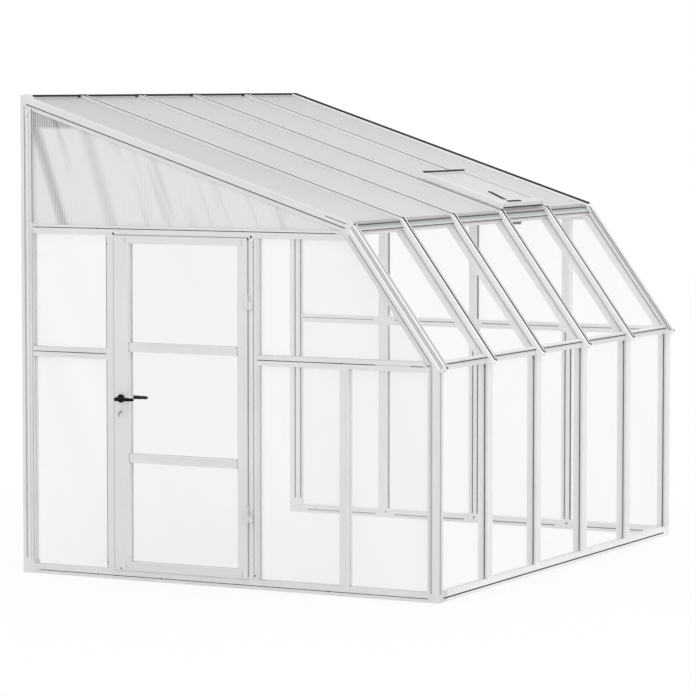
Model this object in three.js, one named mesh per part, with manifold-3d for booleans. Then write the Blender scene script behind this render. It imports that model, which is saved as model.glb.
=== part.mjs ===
// Lean-to greenhouse: white extruded bars, clear and twin-wall panes, a hinged door in one gable
// and a roof vent.
// Lengths are millimetres. Inside the file X runs from the door gable to the far gable, "deep" counts
// outwards from the house wall, and Z is up.
// The finished group is moved so that its origin is the centre of its footprint.
import * as THREE from "three";
import { mergeVertices } from "three/addons/utils/BufferGeometryUtils.js";
import Module from "manifold-3d";

const wasm = await Module();
wasm.setup();

// Driving dimensions of the house
const houseLength = 3200;
const bayCount = 5;
const houseDepth = 2600;
const ridgeHeight = 2678;
const slantRun = 528;
const kneeDepth = houseDepth - slantRun;
const roofAngle = THREE.MathUtils.degToRad(18.03);
const slantAngle = THREE.MathUtils.degToRad(53.74);
const bayWidth = houseLength / bayCount;

// Glazing
const clearThick = 4;
const sheetThick = 10;
const paneLap = 12;
const fitGap = 0.3;
const slotGap = 2 * fitGap;

// Rib profile: a cap outside the glazing, a thin web between the panes, and a body inside
const capWidth = 56;
const webWidth = 17.4;
const bodyWidth = 40;
const bodyDeep = 40;
const roofProud = 10;
const slantProud = 30;
const postProud = 22;
const capGroove = 2.5;
const capGrooveDeep = 4;
const tipLength = 947.5;
const edgeRibWidth = 50;
const edgeWeb = 20;
const edgeRound = 16;
const edgeLegInner = 60;
const edgeStep = 16;
const edgeLegStep = 40;
const flangeBack = 4;

// Gable members and base
const gableBar = 50;
const sideGroove = 3;
const sideGrooveDeep = 4;
const baseHeight = 52;
const baseGrooveHeight = 18;
const footArm = 105;
const rearPostDeep = 50;
const rearFlangeDeep = 24;
const sleeveHeight = 79;
const sleeveProud = 2.5;

// Solids. Every boolean here only joins, cuts or overlaps shapes that three.js made.
const X = new THREE.Vector3(1, 0, 0);
const Y = new THREE.Vector3(0, 1, 0);
const Z = new THREE.Vector3(0, 0, 1);

function solidOf(geometry) {
  const bare = geometry.clone();
  bare.deleteAttribute("normal");
  bare.deleteAttribute("uv");
  const merged = mergeVertices(bare);
  return new wasm.Manifold(
    new wasm.Mesh({
      numProp: 3,
      vertProperties: new Float32Array(merged.attributes.position.array),
      triVerts: new Uint32Array(merged.index.array),
    }),
  );
}

const joined = (...solids) => solids.reduce((all, solid) => all.add(solid));
const without = (solid, ...cutters) => cutters.reduce((left, cutter) => left.subtract(cutter), solid);

// A shape drawn on the plane of two directions and pushed along a third, from one distance to another.
function pushed(points, right, up, from, to, origin = new THREE.Vector3()) {
  const shape = new THREE.Shape(points.map(([u, v]) => new THREE.Vector2(u, v)));
  const geometry = new THREE.ExtrudeGeometry(shape, { depth: to - from, bevelEnabled: false });
  const away = right.clone().cross(up);
  const start = away.clone().multiplyScalar(from).add(origin);
  geometry.applyMatrix4(new THREE.Matrix4().makeBasis(right, up, away).setPosition(start));
  return solidOf(geometry);
}

// The outline moved outwards by an even margin, each corner going to where its two moved sides meet.
function grown(points, margin) {
  const turning = THREE.ShapeUtils.area(points.map(([u, v]) => new THREE.Vector2(u, v))) > 0 ? 1 : -1;
  const side = (a, b) => {
    const length = Math.hypot(b[0] - a[0], b[1] - a[1]);
    const run = [(b[0] - a[0]) / length, (b[1] - a[1]) / length];
    const out = [run[1] * turning, -run[0] * turning];
    return { point: [a[0] + out[0] * margin, a[1] + out[1] * margin], run, out };
  };
  return points.map((point, i) => {
    const before = side(points[(i + points.length - 1) % points.length], point);
    const after = side(point, points[(i + 1) % points.length]);
    return meet(before, after);
  });
}

// Lines in a gable's plane: a point, a unit run and the unit direction that faces outdoors.
function meet(a, b) {
  const cross = a.run[0] * b.run[1] - a.run[1] * b.run[0];
  if (cross === 0) return [...b.point];
  const step = [b.point[0] - a.point[0], b.point[1] - a.point[1]];
  const s = (step[0] * b.run[1] - step[1] * b.run[0]) / cross;
  return [a.point[0] + a.run[0] * s, a.point[1] + a.run[1] * s];
}
const slopingLine = (point, angle) => ({
  point,
  run: [Math.cos(angle), -Math.sin(angle)],
  out: [Math.sin(angle), Math.cos(angle)],
});
function inset(line, by) {
  const [deep, high] = line.point;
  return { ...line, point: [deep - line.out[0] * by, high - line.out[1] * by] };
}
const at = (line, s, by) => [
  line.point[0] + line.run[0] * s - line.out[0] * by,
  line.point[1] + line.run[1] * s - line.out[1] * by,
];
const upright = (deep) => ({ point: [deep, 0], run: [0, -1], out: [1, 0] });
const level = (height) => ({ point: [0, height], run: [1, 0], out: [0, 1] });

const roofLine = slopingLine([0, ridgeHeight], roofAngle);
const kneeAlong = kneeDepth / Math.cos(roofAngle);
const slantLine = slopingLine(at(roofLine, kneeAlong, 0), slantAngle);
const frontLine = upright(houseDepth);
const slantTopHeight = slantLine.point[1];
const eaveHeight = meet(frontLine, slantLine)[1];

// A piece drawn in the gable's plane as (deep, height) and pushed along the house, with a grown copy
// that cuts its seat.
function across(points, from, to) {
  const mirrored = points.map(([deep, height]) => [-deep, height]);
  return {
    points,
    from,
    to,
    solid: () => pushed(mirrored, Y, Z, from, to),
    seat: (margin = fitGap) => across(grown(points, margin), from - margin, to + margin).solid(),
  };
}
const rect = (deepFrom, deepTo, low, high) => [
  [deepFrom, low],
  [deepTo, low],
  [deepTo, high],
  [deepFrom, high],
];

// The same piece on either gable: distances count inwards from the gable's outer face.
const gables = {
  near: (from, to) => [from, to],
  far: (from, to) => [houseLength - to, houseLength - from],
};
const onGable = (gable, points, from, to) => across(points, ...gables[gable](from, to));

// Long rails. Each is one outline, carried along the house between the end ribs.
const ridgeFrontDeep = 14;
const ridgeRise = 2;
const ridgeUnderDrop = 118;
const ridgeUnderDeep = 40;
const ridgeLipDeep = 60;
const ridgeLipDrop = 84;
const ridgeUnderHeight = ridgeHeight - ridgeUnderDrop;
const sheetTopDeep = 8;
const railStart = edgeRibWidth + fitGap;
const railEnd = houseLength - railStart;
const sheetOuter = roofProud;
const sheetInner = roofProud + sheetThick + slotGap;
const slantInner = slantProud + clearThick + slotGap;
const postInner = postProud + clearThick + slotGap;

const ridgeSlotStart = (by) => meet(upright(sheetTopDeep), inset(roofLine, by));
const ridgeRail = across(
  [
    [0, ridgeUnderHeight],
    [ridgeUnderDeep, ridgeUnderHeight],
    [ridgeLipDeep, ridgeHeight - ridgeLipDrop],
    meet(upright(ridgeLipDeep), inset(roofLine, sheetInner)),
    ridgeSlotStart(sheetInner),
    ridgeSlotStart(sheetOuter),
    meet(upright(ridgeFrontDeep), inset(roofLine, sheetOuter)),
    [ridgeFrontDeep, ridgeHeight],
    [0, ridgeHeight + ridgeRise],
  ],
  railStart,
  houseLength,
);

// The knee rail closes the bend: a header face under the caps, a slot for the slanted panes and a shelf
// under the sheets.
const headerInset = 19;
const headerLength = 45;
const kneeRailDeep = 60;
const kneeShelf = 45;
const kneeShelfDeep = 52;
const slantPaneTop = headerLength - paneLap;
const kneeRail = across(
  [
    meet(inset(roofLine, sheetInner + fitGap), inset(slantLine, headerInset)),
    at(roofLine, kneeAlong - kneeShelf, sheetInner + fitGap),
    at(roofLine, kneeAlong - kneeShelf, kneeShelfDeep),
    at(slantLine, headerLength, kneeRailDeep),
    at(slantLine, headerLength, slantInner),
    at(slantLine, slantPaneTop - fitGap, slantInner),
    at(slantLine, slantPaneTop - fitGap, slantProud),
    at(slantLine, headerLength, slantProud),
    at(slantLine, headerLength, headerInset),
  ],
  railStart,
  railEnd,
);

// The eave rail holds the front panes' tops in a slot below and the slanted panes' feet behind a lip.
const eaveSetBack = 12;
const eaveFace = houseDepth - eaveSetBack;
const eaveTall = 51.6;
const eaveLow = eaveHeight - eaveTall;
const eaveLipInset = 18;
const eaveLip = 15;
const eaveDeep = 50;
const eaveGrooveUp = 26;
const eaveGroove = eaveLow + eaveGrooveUp;
const eaveLipFoot = meet(upright(eaveFace), inset(slantLine, eaveLipInset));
const slantAlong = (point) =>
  (point[0] - slantLine.point[0]) * slantLine.run[0] + (point[1] - slantLine.point[1]) * slantLine.run[1];
const eaveLipEnd = slantAlong(eaveLipFoot) - eaveLip;
const slantPaneFoot = eaveLipEnd + paneLap;
const frontPaneTop = eaveLow + paneLap;
const eaveInnerTop = at(slantLine, eaveLipEnd, eaveDeep);
const eaveRailOutline = [
  [eaveFace, eaveLow],
  [eaveFace, eaveGroove],
  [eaveFace - sideGrooveDeep, eaveGroove],
  [eaveFace - sideGrooveDeep, eaveGroove + sideGroove],
  [eaveFace, eaveGroove + sideGroove],
  eaveLipFoot,
  at(slantLine, eaveLipEnd, eaveLipInset),
  at(slantLine, eaveLipEnd, slantProud),
  at(slantLine, slantPaneFoot + fitGap, slantProud),
  at(slantLine, slantPaneFoot + fitGap, slantInner),
  at(slantLine, eaveLipEnd, slantInner),
  eaveInnerTop,
  [eaveInnerTop[0], eaveLow],
  [houseDepth - postInner, eaveLow],
  [houseDepth - postInner, frontPaneTop + fitGap],
  [houseDepth - postProud, frontPaneTop + fitGap],
  [houseDepth - postProud, eaveLow],
];
const eaveRail = across(eaveRailOutline, railStart, railEnd);
const eaveBody = (from, to) =>
  across([[eaveFace, eaveLow], eaveLipFoot, at(slantLine, eaveLipEnd, eaveLipInset), eaveInnerTop,
    [eaveInnerTop[0], eaveLow]], from, to);

// Ribs. One bent outline for each layer of the profile, all pushed across to the layer's own width.
function bentLayer(roofBy, slantBy, slantEnd, roofStart = 0) {
  return (roofTo, slantTo) => [
    meet(upright(roofStart), inset(roofLine, roofBy)),
    meet(inset(roofLine, roofBy), inset(slantLine, slantBy)),
    at(slantLine, slantEnd, slantBy),
    at(slantLine, slantEnd, slantTo),
    meet(inset(roofLine, roofTo), inset(slantLine, slantTo)),
    meet(upright(roofStart), inset(roofLine, roofTo)),
  ];
}
const slantFootAlong = slantAlong(meet(frontLine, slantLine));
const capLayer = bentLayer(0, 0, tipLength)(roofProud, slantProud);
const webLayer = bentLayer(roofProud / 2, slantProud / 2, slantFootAlong - slantProud)(
  sheetInner + bodyDeep / 2,
  slantInner + bodyDeep / 2,
);
const capBack = 24;
const capPeakDeep = 30;
const capPeakRise = 6;
const capFrontDeep = 45;
const capFrontRise = 3;
const endCap = [
  [0, ridgeUnderHeight],
  [ridgeUnderDeep, ridgeUnderHeight],
  [ridgeLipDeep, ridgeHeight - ridgeLipDrop],
  meet(upright(ridgeLipDeep), roofLine),
  [capFrontDeep, ridgeHeight + capFrontRise],
  [capPeakDeep, ridgeHeight + capPeakRise],
  [0, ridgeHeight - capBack],
];

// The leg below the bend: its top follows the slanted part, so the two run into each other.
const legTop = (deep, by) => meet(upright(deep), inset(slantLine, by));
function legLayer(outerBy, innerBy, low) {
  const outer = houseDepth - outerBy;
  const inner = houseDepth - innerBy;
  return [[inner, low], [outer, low], legTop(outer, slantProud / 2), legTop(inner, slantInner)];
}
function bentBody(legInnerBy, low) {
  const slantInside = inset(slantLine, slantInner + bodyDeep);
  const legInside = inset(frontLine, legInnerBy);
  return [
    meet(upright(ridgeUnderDeep), inset(roofLine, sheetInner)),
    meet(inset(roofLine, sheetInner), inset(slantLine, slantInner)),
    meet(inset(slantLine, slantInner), inset(frontLine, postInner)),
    [houseDepth - postInner, low],
    [houseDepth - legInnerBy, low],
    meet(legInside, slantInside),
    meet(inset(roofLine, sheetInner + bodyDeep), slantInside),
    meet(upright(ridgeUnderDeep), inset(roofLine, sheetInner + bodyDeep)),
  ];
}
const grooveLayer = bentLayer(-capGrooveDeep, -capGrooveDeep, tipLength + capGrooveDeep);
const capGrooves = (from, to) => [
  across(grooveLayer(capGrooveDeep, capGrooveDeep), from, to),
  across(
    rect(houseDepth - capGrooveDeep, houseDepth + capGrooveDeep, 0, eaveLow - sideGrooveDeep),
    from,
    to,
  ),
];

function innerRib(centre) {
  const spread = (points, width) => across(points, centre - width / 2, centre + width / 2).solid();
  const low = baseHeight + fitGap;
  const whole = joined(
    spread(capLayer, capWidth),
    spread(legLayer(0, postProud, low), capWidth),
    spread(webLayer, webWidth),
    spread(legLayer(postProud / 2, postInner + bodyDeep / 2, low), webWidth),
    spread(bentBody(postInner + bodyDeep, low), bodyWidth),
  );
  const grooves = capGrooves(centre - capGroove / 2, centre + capGroove / 2);
  return without(
    whole,
    ...grooves.map((groove) => groove.solid()),
    ridgeRail.seat(),
    kneeRail.seat(),
    eaveBody(railStart, railEnd).seat(),
  );
}

// Panes and sheets. Each has a grown copy, and every bar that a pane enters is cut by it.
const paneStart = (bay) => (bay === 0 ? edgeWeb : bay * bayWidth + webWidth / 2) + fitGap;
const paneEnd = (bay) => houseLength - paneStart(bayCount - 1 - bay);
const ventBay = 3;
const sheetFootGap = 10;
const lidAboveKnee = 21;
const lidLength = 578;
const lidTo = kneeAlong - lidAboveKnee;
const lidFrom = lidTo - lidLength;
const kerbAbove = 20;
const kerbSheetGap = 4;
const kerbFrom = lidFrom - kerbAbove;
const kerbTo = kneeAlong - sheetFootGap;
const ventSheetEnd = kerbFrom - kerbSheetGap;
const roofStrip = (from, to) => [
  at(roofLine, from, sheetOuter + fitGap),
  at(roofLine, to, sheetOuter + fitGap),
  at(roofLine, to, sheetOuter + fitGap + sheetThick),
  at(roofLine, from, sheetOuter + fitGap + sheetThick),
];
const sheetTop = (sheetTopDeep + fitGap) / Math.cos(roofAngle);
const roofSheet = (bay) =>
  across(
    roofStrip(sheetTop, bay === ventBay ? ventSheetEnd : kneeAlong - sheetFootGap),
    paneStart(bay),
    paneEnd(bay),
  );
const slantPane = (bay) =>
  across(
    [
      at(slantLine, slantPaneTop, slantProud + fitGap),
      at(slantLine, slantPaneFoot, slantProud + fitGap),
      at(slantLine, slantPaneFoot, slantProud + fitGap + clearThick),
      at(slantLine, slantPaneTop, slantProud + fitGap + clearThick),
    ],
    paneStart(bay),
    paneEnd(bay),
  );
const paneFoot = baseHeight - paneLap;
const frontOuter = houseDepth - postProud - fitGap;
const frontPane = (bay) =>
  across(rect(frontOuter - clearThick, frontOuter, paneFoot, frontPaneTop), paneStart(bay), paneEnd(bay));

const gableRailTall = 50;
const midRailTall = 55;
const midRailBelowEave = 61.6;
const slantInside = inset(slantLine, slantInner + bodyDeep);
const gableRailHigh = meet(inset(roofLine, sheetInner + bodyDeep), slantInside)[1] + slotGap;
const gableRailLow = gableRailHigh - gableRailTall;
const midRailLow = eaveHeight - midRailBelowEave;
const midRailHigh = midRailLow + midRailTall;
const legInner = houseDepth - edgeLegInner;

const gableClearFrom = 20;
const gableClearTo = gableClearFrom + clearThick;
const gableSheetFrom = gableClearTo - sheetThick;
const rearInner = rearPostDeep + rearFlangeDeep;
const paneRear = rearInner - paneLap;
const roofFlange = inset(roofLine, sheetInner + bodyDeep - paneLap);
const slantFlange = inset(slantLine, slantInner + bodyDeep - paneLap);
const legFlange = upright(houseDepth - edgeLegInner + paneLap);
const railPaneLow = gableRailLow + paneLap;
const railPaneHigh = gableRailHigh - paneLap;
const triangleOutline = [
  [paneRear, railPaneHigh],
  meet(level(railPaneHigh), slantFlange),
  meet(roofFlange, slantFlange),
  meet(upright(paneRear), roofFlange),
];
const jambLeftFrom = 553;
const jambLeftWide = 50.5;
const jambLeftTo = jambLeftFrom + jambLeftWide;
const doorway = 844;
const jambRightFrom = jambLeftTo + doorway;
const jambRightWide = 56.5;
const jambRightTo = jambRightFrom + jambRightWide;
const mullionWide = 51;
const mullionPastMiddle = 12.5;
const mullionFrom = (jambRightTo + legInner) / 2 + mullionPastMiddle - mullionWide / 2;
const mullionTo = mullionFrom + mullionWide;
const midPaneLow = midRailLow + paneLap;
const midPaneHigh = midRailHigh - paneLap;
const rightPaneFrom = jambRightTo - paneLap;
const clearOnGable = (gable, points) => onGable(gable, points, gableClearFrom, gableClearTo);
const sheetOnGable = (gable) => onGable(gable, triangleOutline, gableSheetFrom, gableClearTo);
const endColumn = (from, low) => [
  [from, low],
  [legFlange.point[0], low],
  meet(legFlange, slantFlange),
  meet(level(railPaneLow), slantFlange),
  [from, railPaneLow],
];
const nearPanes = {
  gable_sheet_near: sheetOnGable("near"),
  gable_pane_left_upper: clearOnGable(
    "near",
    rect(paneRear, jambLeftFrom + paneLap, midPaneHigh, railPaneLow),
  ),
  gable_pane_left_lower: clearOnGable("near", rect(paneRear, jambLeftFrom + paneLap, paneFoot, midPaneLow)),
  gable_pane_right_upper: clearOnGable("near", [
    [rightPaneFrom, midPaneHigh],
    meet(level(midPaneHigh), slantFlange),
    meet(level(railPaneLow), slantFlange),
    [rightPaneFrom, railPaneLow],
  ]),
  gable_pane_right_lower: clearOnGable(
    "near",
    rect(rightPaneFrom, mullionFrom + paneLap, paneFoot, midPaneLow),
  ),
  gable_pane_corner_lower: clearOnGable(
    "near",
    rect(mullionTo - paneLap, legFlange.point[0], paneFoot, midPaneLow),
  ),
};

const farPostCount = 3;
const farEndRoom = 72;
const farPostStart = 30;
const farPostPitch = (houseDepth - farEndRoom) / (farPostCount + 1);
const farPostFirst = farPostStart + farPostPitch;
const farPostWidth = 50;
const farMidLow = midRailLow;
const farMidHigh = farMidLow + gableRailTall;
const farPostCentre = (i) => farPostFirst + i * farPostPitch;
const farColumn = (i) => {
  const from = i === 0 ? paneRear : farPostCentre(i - 1) + farPostWidth / 2 - paneLap;
  if (i === farPostCount) return endColumn(from, paneFoot);
  return rect(from, farPostCentre(i) - farPostWidth / 2 + paneLap, paneFoot, railPaneLow);
};
const farPanes = { gable_sheet_far: sheetOnGable("far") };
for (let i = 0; i <= farPostCount; i++) {
  farPanes["far_gable_pane_" + (i + 1)] = clearOnGable("far", farColumn(i));
}

const longPanes = {};
for (let bay = 0; bay < bayCount; bay++) {
  longPanes["roof_sheet_" + (bay + 1)] = roofSheet(bay);
  longPanes["slant_pane_" + (bay + 1)] = slantPane(bay);
  longPanes["front_pane_" + (bay + 1)] = frontPane(bay);
}
const seatsOf = (panes) => Object.values(panes).map((pane) => pane.seat());
const kerbSkin = across(roofStrip(kerbFrom, kerbTo), paneStart(ventBay), paneEnd(ventBay));
const longSeats = seatsOf({ ...longPanes, kerbSkin });
const nearSeats = seatsOf(nearPanes);
const farSeats = seatsOf(farPanes);
const gableSeats = { near: nearSeats, far: farSeats };

// End ribs: the bent bar, its flange for the gable's panes, its leg and the corner foot.
const overrun = 5;
const stepRoof = sheetInner + edgeStep;
const stepSlant = slantInner + edgeStep;
const stepLeg = edgeLegStep;
const bodyOnGable = bentBody(edgeLegInner, baseHeight / 2);
const flangeStep = [
  meet(upright(ridgeUnderDeep), inset(roofLine, stepRoof)),
  meet(inset(roofLine, stepRoof), inset(slantLine, stepSlant)),
  meet(inset(slantLine, stepSlant), upright(houseDepth - stepLeg)),
  [houseDepth - stepLeg, baseHeight],
  [houseDepth - edgeLegInner - overrun, baseHeight],
  meet(upright(houseDepth - edgeLegInner - overrun), inset(slantLine, slantInner + bodyDeep + overrun)),
  meet(inset(slantLine, slantInner + bodyDeep + overrun), inset(roofLine, sheetInner + bodyDeep + overrun)),
  meet(upright(ridgeUnderDeep), inset(roofLine, sheetInner + bodyDeep + overrun)),
];

function roundedEdgeCutter(gable) {
  const points = [[-overrun, overrun], [-overrun, -edgeRound], [0, -edgeRound]];
  const steps = 6;
  for (let i = 1; i <= steps; i++) {
    const turn = (Math.PI / 2) * (i / steps);
    points.push([edgeRound - edgeRound * Math.cos(turn), edgeRound * Math.sin(turn) - edgeRound]);
  }
  points.push([edgeRound, overrun]);
  const placed = gable === "near" ? points : points.map(([x, out]) => [houseLength - x, out]);
  const outwards = new THREE.Vector3(0, -slantLine.out[0], slantLine.out[1]);
  const knee = new THREE.Vector3(0, -slantLine.point[0], slantLine.point[1]);
  return pushed(placed, X, outwards, 0, tipLength + overrun, knee);
}

function cornerFoot(gable) {
  const front = rect(houseDepth - gableBar, houseDepth, 0, baseHeight);
  const side = rect(houseDepth - footArm, houseDepth, 0, baseHeight);
  return joined(onGable(gable, front, 0, footArm).solid(), onGable(gable, side, 0, gableBar).solid());
}

function endRib(gable) {
  const layer = (points, from, to) => onGable(gable, points, from, to).solid();
  const whole = joined(
    layer(capLayer, 0, edgeRibWidth),
    layer(legLayer(0, postProud, baseHeight / 2), 0, edgeRibWidth),
    layer(webLayer, 0, edgeWeb),
    layer(legLayer(postProud / 2, edgeLegInner - paneLap, baseHeight / 2), 0, edgeWeb),
    layer(bodyOnGable, 0, edgeRibWidth),
    cornerFoot(gable),
    ...(gable === "near" ? [layer(endCap, 0, edgeRibWidth)] : []),
  );
  const middle = edgeRibWidth / 2;
  const grooves = capGrooves(...gables[gable](middle - capGroove / 2, middle + capGroove / 2));
  return without(
    whole,
    ...grooves.map((groove) => groove.solid()),
    layer(flangeStep, -overrun, flangeBack),
    roundedEdgeCutter(gable),
    ridgeRail.seat(),
    ...longSeats,
    ...gableSeats[gable],
  );
}
const ribWhole = [
  meet(upright(ridgeUnderDeep), inset(roofLine, sheetInner + bodyDeep)),
  meet(inset(roofLine, sheetInner + bodyDeep), slantInside),
  meet(slantInside, upright(houseDepth - edgeLegInner)),
  [houseDepth - edgeLegInner, 0],
  [houseDepth, 0],
  meet(frontLine, slantLine),
  slantLine.point,
  meet(upright(ridgeUnderDeep), roofLine),
];
const ribSeat = (gable) => onGable(gable, ribWhole, -overrun, edgeRibWidth + overrun).seat();

// Base rails, rear posts and the long rails' solids
const footClear = footArm + fitGap;
const baseGroove = (face) => [face, baseGrooveHeight, baseGrooveHeight + sideGroove];
function baseFront() {
  const profile = rect(houseDepth - gableBar, houseDepth, 0, baseHeight);
  const body = across(profile, footClear, houseLength - footClear);
  const [face, low, high] = baseGroove(houseDepth);
  const groove = across(rect(face - sideGrooveDeep, face + overrun, low, high), 0, houseLength);
  return without(body.solid(), groove.solid(), ...longSeats);
}
function baseGable(gable) {
  const from = rearInner + sleeveProud + fitGap;
  const body = onGable(gable, rect(from, houseDepth - footClear, 0, baseHeight), 0, gableBar);
  const [, low, high] = baseGroove(0);
  const groove = onGable(gable, rect(0, houseDepth, low, high), -overrun, sideGrooveDeep);
  return without(body.solid(), groove.solid(), ...gableSeats[gable]);
}
const rearGrooveDeep = 28;
const rearGrooveLow = 90;
function rearPost(gable) {
  const top = ridgeUnderHeight - fitGap;
  const under = (deep) => meet(upright(deep), inset(roofLine, sheetInner + bodyDeep + fitGap));
  const flange = [
    [rearPostDeep - overrun, 0],
    [rearInner, 0],
    under(rearInner),
    under(rearPostDeep - overrun),
  ];
  const sleeveTo = rearInner + sleeveProud;
  const whole = joined(
    onGable(gable, rect(0, rearPostDeep, 0, top), 0, gableBar).solid(),
    onGable(gable, flange, flangeBack, gableBar).solid(),
    onGable(gable, rect(0, sleeveTo, 0, sleeveHeight), 0, gableBar + sleeveProud).solid(),
  );
  const groove = rect(rearGrooveDeep, rearGrooveDeep + sideGroove, rearGrooveLow, top + overrun);
  return without(
    whole,
    onGable(gable, groove, -overrun, sideGrooveDeep).solid(),
    ridgeRail.seat(),
    onGable(gable, endCap, -overrun, edgeRibWidth).seat(),
    ...gableSeats[gable],
  );
}
const railsBetween = (rail) => without(rail.solid(), ...longSeats);

// Gable members. Each is drawn long enough to reach its neighbours and cut back by them.
const memberLow = baseHeight + fitGap;
const memberHigh = gableRailLow - fitGap;
const memberStart = rearInner + fitGap;
const level3 = (height) => [height, height + sideGroove];
function gableMember(gable, points, grooves = []) {
  return without(
    onGable(gable, points, 0, gableBar).solid(),
    ...grooves.map((groove) => onGable(gable, groove, -overrun, sideGrooveDeep).solid()),
    ribSeat(gable),
    ...gableSeats[gable],
  );
}
const railGrooveUp = 33;
const midGrooveUp = 28;
const railGroove = gableRailLow + railGrooveUp;
const midGroove = midRailLow + midGrooveUp;
const jambGrooveIn = 34.5;
const jambGroove = jambRightFrom + jambGrooveIn;
const gableRail = (gable) =>
  gableMember(gable, rect(memberStart, kneeDepth, gableRailLow, gableRailHigh), [
    rect(0, kneeDepth, ...level3(railGroove)),
  ]);
const leftMidRail = () =>
  gableMember("near", rect(memberStart, jambLeftFrom - fitGap, midRailLow, midRailHigh), [
    rect(0, jambLeftFrom, ...level3(midGroove)),
  ]);
function rightMidRail() {
  const rail = rect(jambRightTo + fitGap, houseDepth - postInner, midRailLow, midRailHigh);
  const groove = rect(jambRightTo, houseDepth, ...level3(midGroove));
  const mullion = rect(mullionFrom, mullionTo, memberLow, midRailLow + overrun);
  return joined(gableMember("near", rail, [groove]), gableMember("near", mullion));
}
function farLattice() {
  const posts = [];
  for (let i = 0; i < farPostCount; i++) {
    const from = farPostCentre(i) - farPostWidth / 2;
    posts.push(gableMember("far", rect(from, from + farPostWidth, memberLow, memberHigh)));
  }
  const rail = gableMember("far", rect(memberStart, houseDepth - postInner, farMidLow, farMidHigh));
  return joined(rail, ...posts);
}

// Door: the leaf is hung on the far jamb, outside the gable's face, and swings outwards.
const leafGap = 1;
const latchGap = 2.6;
const leafFrom = jambLeftTo + latchGap;
const leafTo = jambRightFrom - leafGap;
const leafLow = baseHeight + leafGap + slotGap;
const leafHigh = gableRailLow - leafGap;
const leafTall = leafHigh - leafLow;
const leafOut = -6;
const leafIn = 39;
const handleStile = 95;
const hingeStile = 60;
const leafTopRail = 42;
const leafFootRail = 49.5;
const leafRailTall = 48;
const leafRailShares = [0.3371, 0.6686];
const leafRails = leafRailShares.map((share) => {
  const middle = leafLow + leafTall * share;
  return [middle - leafRailTall / 2, middle + leafRailTall / 2];
});
const windowFrom = leafFrom + handleStile;
const windowTo = leafTo - hingeStile;
const windowHeights = [
  [leafLow + leafFootRail, leafRails[0][0]],
  [leafRails[0][1], leafRails[1][0]],
  [leafRails[1][1], leafHigh - leafTopRail],
];
const doorPanes = windowHeights.map(([low, high]) =>
  across(
    rect(windowFrom - paneLap, windowTo + paneLap, low - paneLap, high + paneLap),
    gableClearFrom,
    gableClearTo,
  ),
);
const stopFrom = leafIn + slotGap;
const stopLap = 10;

const hingeX = -14;
const hingeDeep = (leafTo + jambRightFrom) / 2;
const knuckleRadius = 7.6;
const pinRadius = 4;
const boreRadius = pinRadius + fitGap;
const knuckleTall = 85;
const hingeFromFoot = 310;
const hingeFromTop = 386;
const hingeLows = [leafLow + hingeFromFoot, leafHigh - hingeFromTop];
const hingePlate = 30;
const roundSides = 24;
function uprightRound(radius, x, deep, low, high) {
  const geometry = new THREE.CylinderGeometry(radius, radius, high - low, roundSides);
  geometry.rotateX(Math.PI / 2);
  geometry.translate(x, -deep, (low + high) / 2);
  return solidOf(geometry);
}
function acrossRound(radius, deep, height, from, to) {
  const geometry = new THREE.CylinderGeometry(radius, radius, to - from, roundSides);
  geometry.rotateZ(Math.PI / 2);
  geometry.translate((from + to) / 2, -deep, height);
  return solidOf(geometry);
}
const plateOut = hingeX + pinRadius;
function jambHinge(low) {
  const middle = low + knuckleTall / 2;
  return joined(
    uprightRound(knuckleRadius, hingeX, hingeDeep, low, middle),
    uprightRound(pinRadius, hingeX, hingeDeep, middle - overrun, low + knuckleTall - overrun),
    across(rect(jambRightFrom, jambRightFrom + hingePlate, low, middle), plateOut, overrun).solid(),
  );
}
function leafHinge(low) {
  const middle = low + knuckleTall / 2 + fitGap;
  const high = low + knuckleTall;
  return without(
    joined(
      uprightRound(knuckleRadius, hingeX, hingeDeep, middle, high),
      across(rect(hingeDeep - hingePlate, hingeDeep, middle, high), plateOut, leafOut + fitGap).solid(),
    ),
    uprightRound(boreRadius, hingeX, hingeDeep, middle - overrun, high - overrun + fitGap),
  );
}
const latchJamb = () => gableMember("near", rect(jambLeftFrom, jambLeftTo, memberLow, memberHigh));
function hingeJamb() {
  const groove = rect(jambGroove, jambGroove + sideGroove, memberLow, memberHigh);
  const post = gableMember("near", rect(jambRightFrom, jambRightTo, memberLow, memberHigh), [groove]);
  const lip = rect(jambRightFrom - stopLap, jambRightTo, memberLow, memberHigh);
  const stop = across(lip, stopFrom, gableBar);
  return joined(post, stop.solid(), ...hingeLows.map(jambHinge));
}

// Handle set: two levers on one square spindle, the latch bolt that they draw back, and the lock's plug
// with its key.
const spindleBack = 43.9;
const spindleDeep = leafFrom + spindleBack;
const spindleHeight = 1008;
const spindleSide = 8;
const spindleHole = 7;
const leverReach = 110;
const leverThick = 12;
const leverOff = 48;
const leverHub = 11;
const leverTip = 8;
const neckRadius = 9;
const roseRadius = 23;
const roseThick = 6;
const boltHalf = 7;
const boltLength = 28;
const boltTravel = 10;
const boltNose = 1.2;
const boltDepthFrom = 9;
const lockHeight = 936;
const lockBack = 45.9;
const lockDeep = leafFrom + lockBack;
const plugRadius = 7;
const bossRadius = 12;
const bossProud = 6;
const keyThick = 2.5;
const keyBow = 12;
const keyHole = 4;
const keyDrop = 14;
const keyNeck = 10;
const aboutSpindle = (half, from, to) =>
  across(
    rect(spindleDeep - half, spindleDeep + half, spindleHeight - half, spindleHeight + half),
    from,
    to,
  ).solid();
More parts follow.
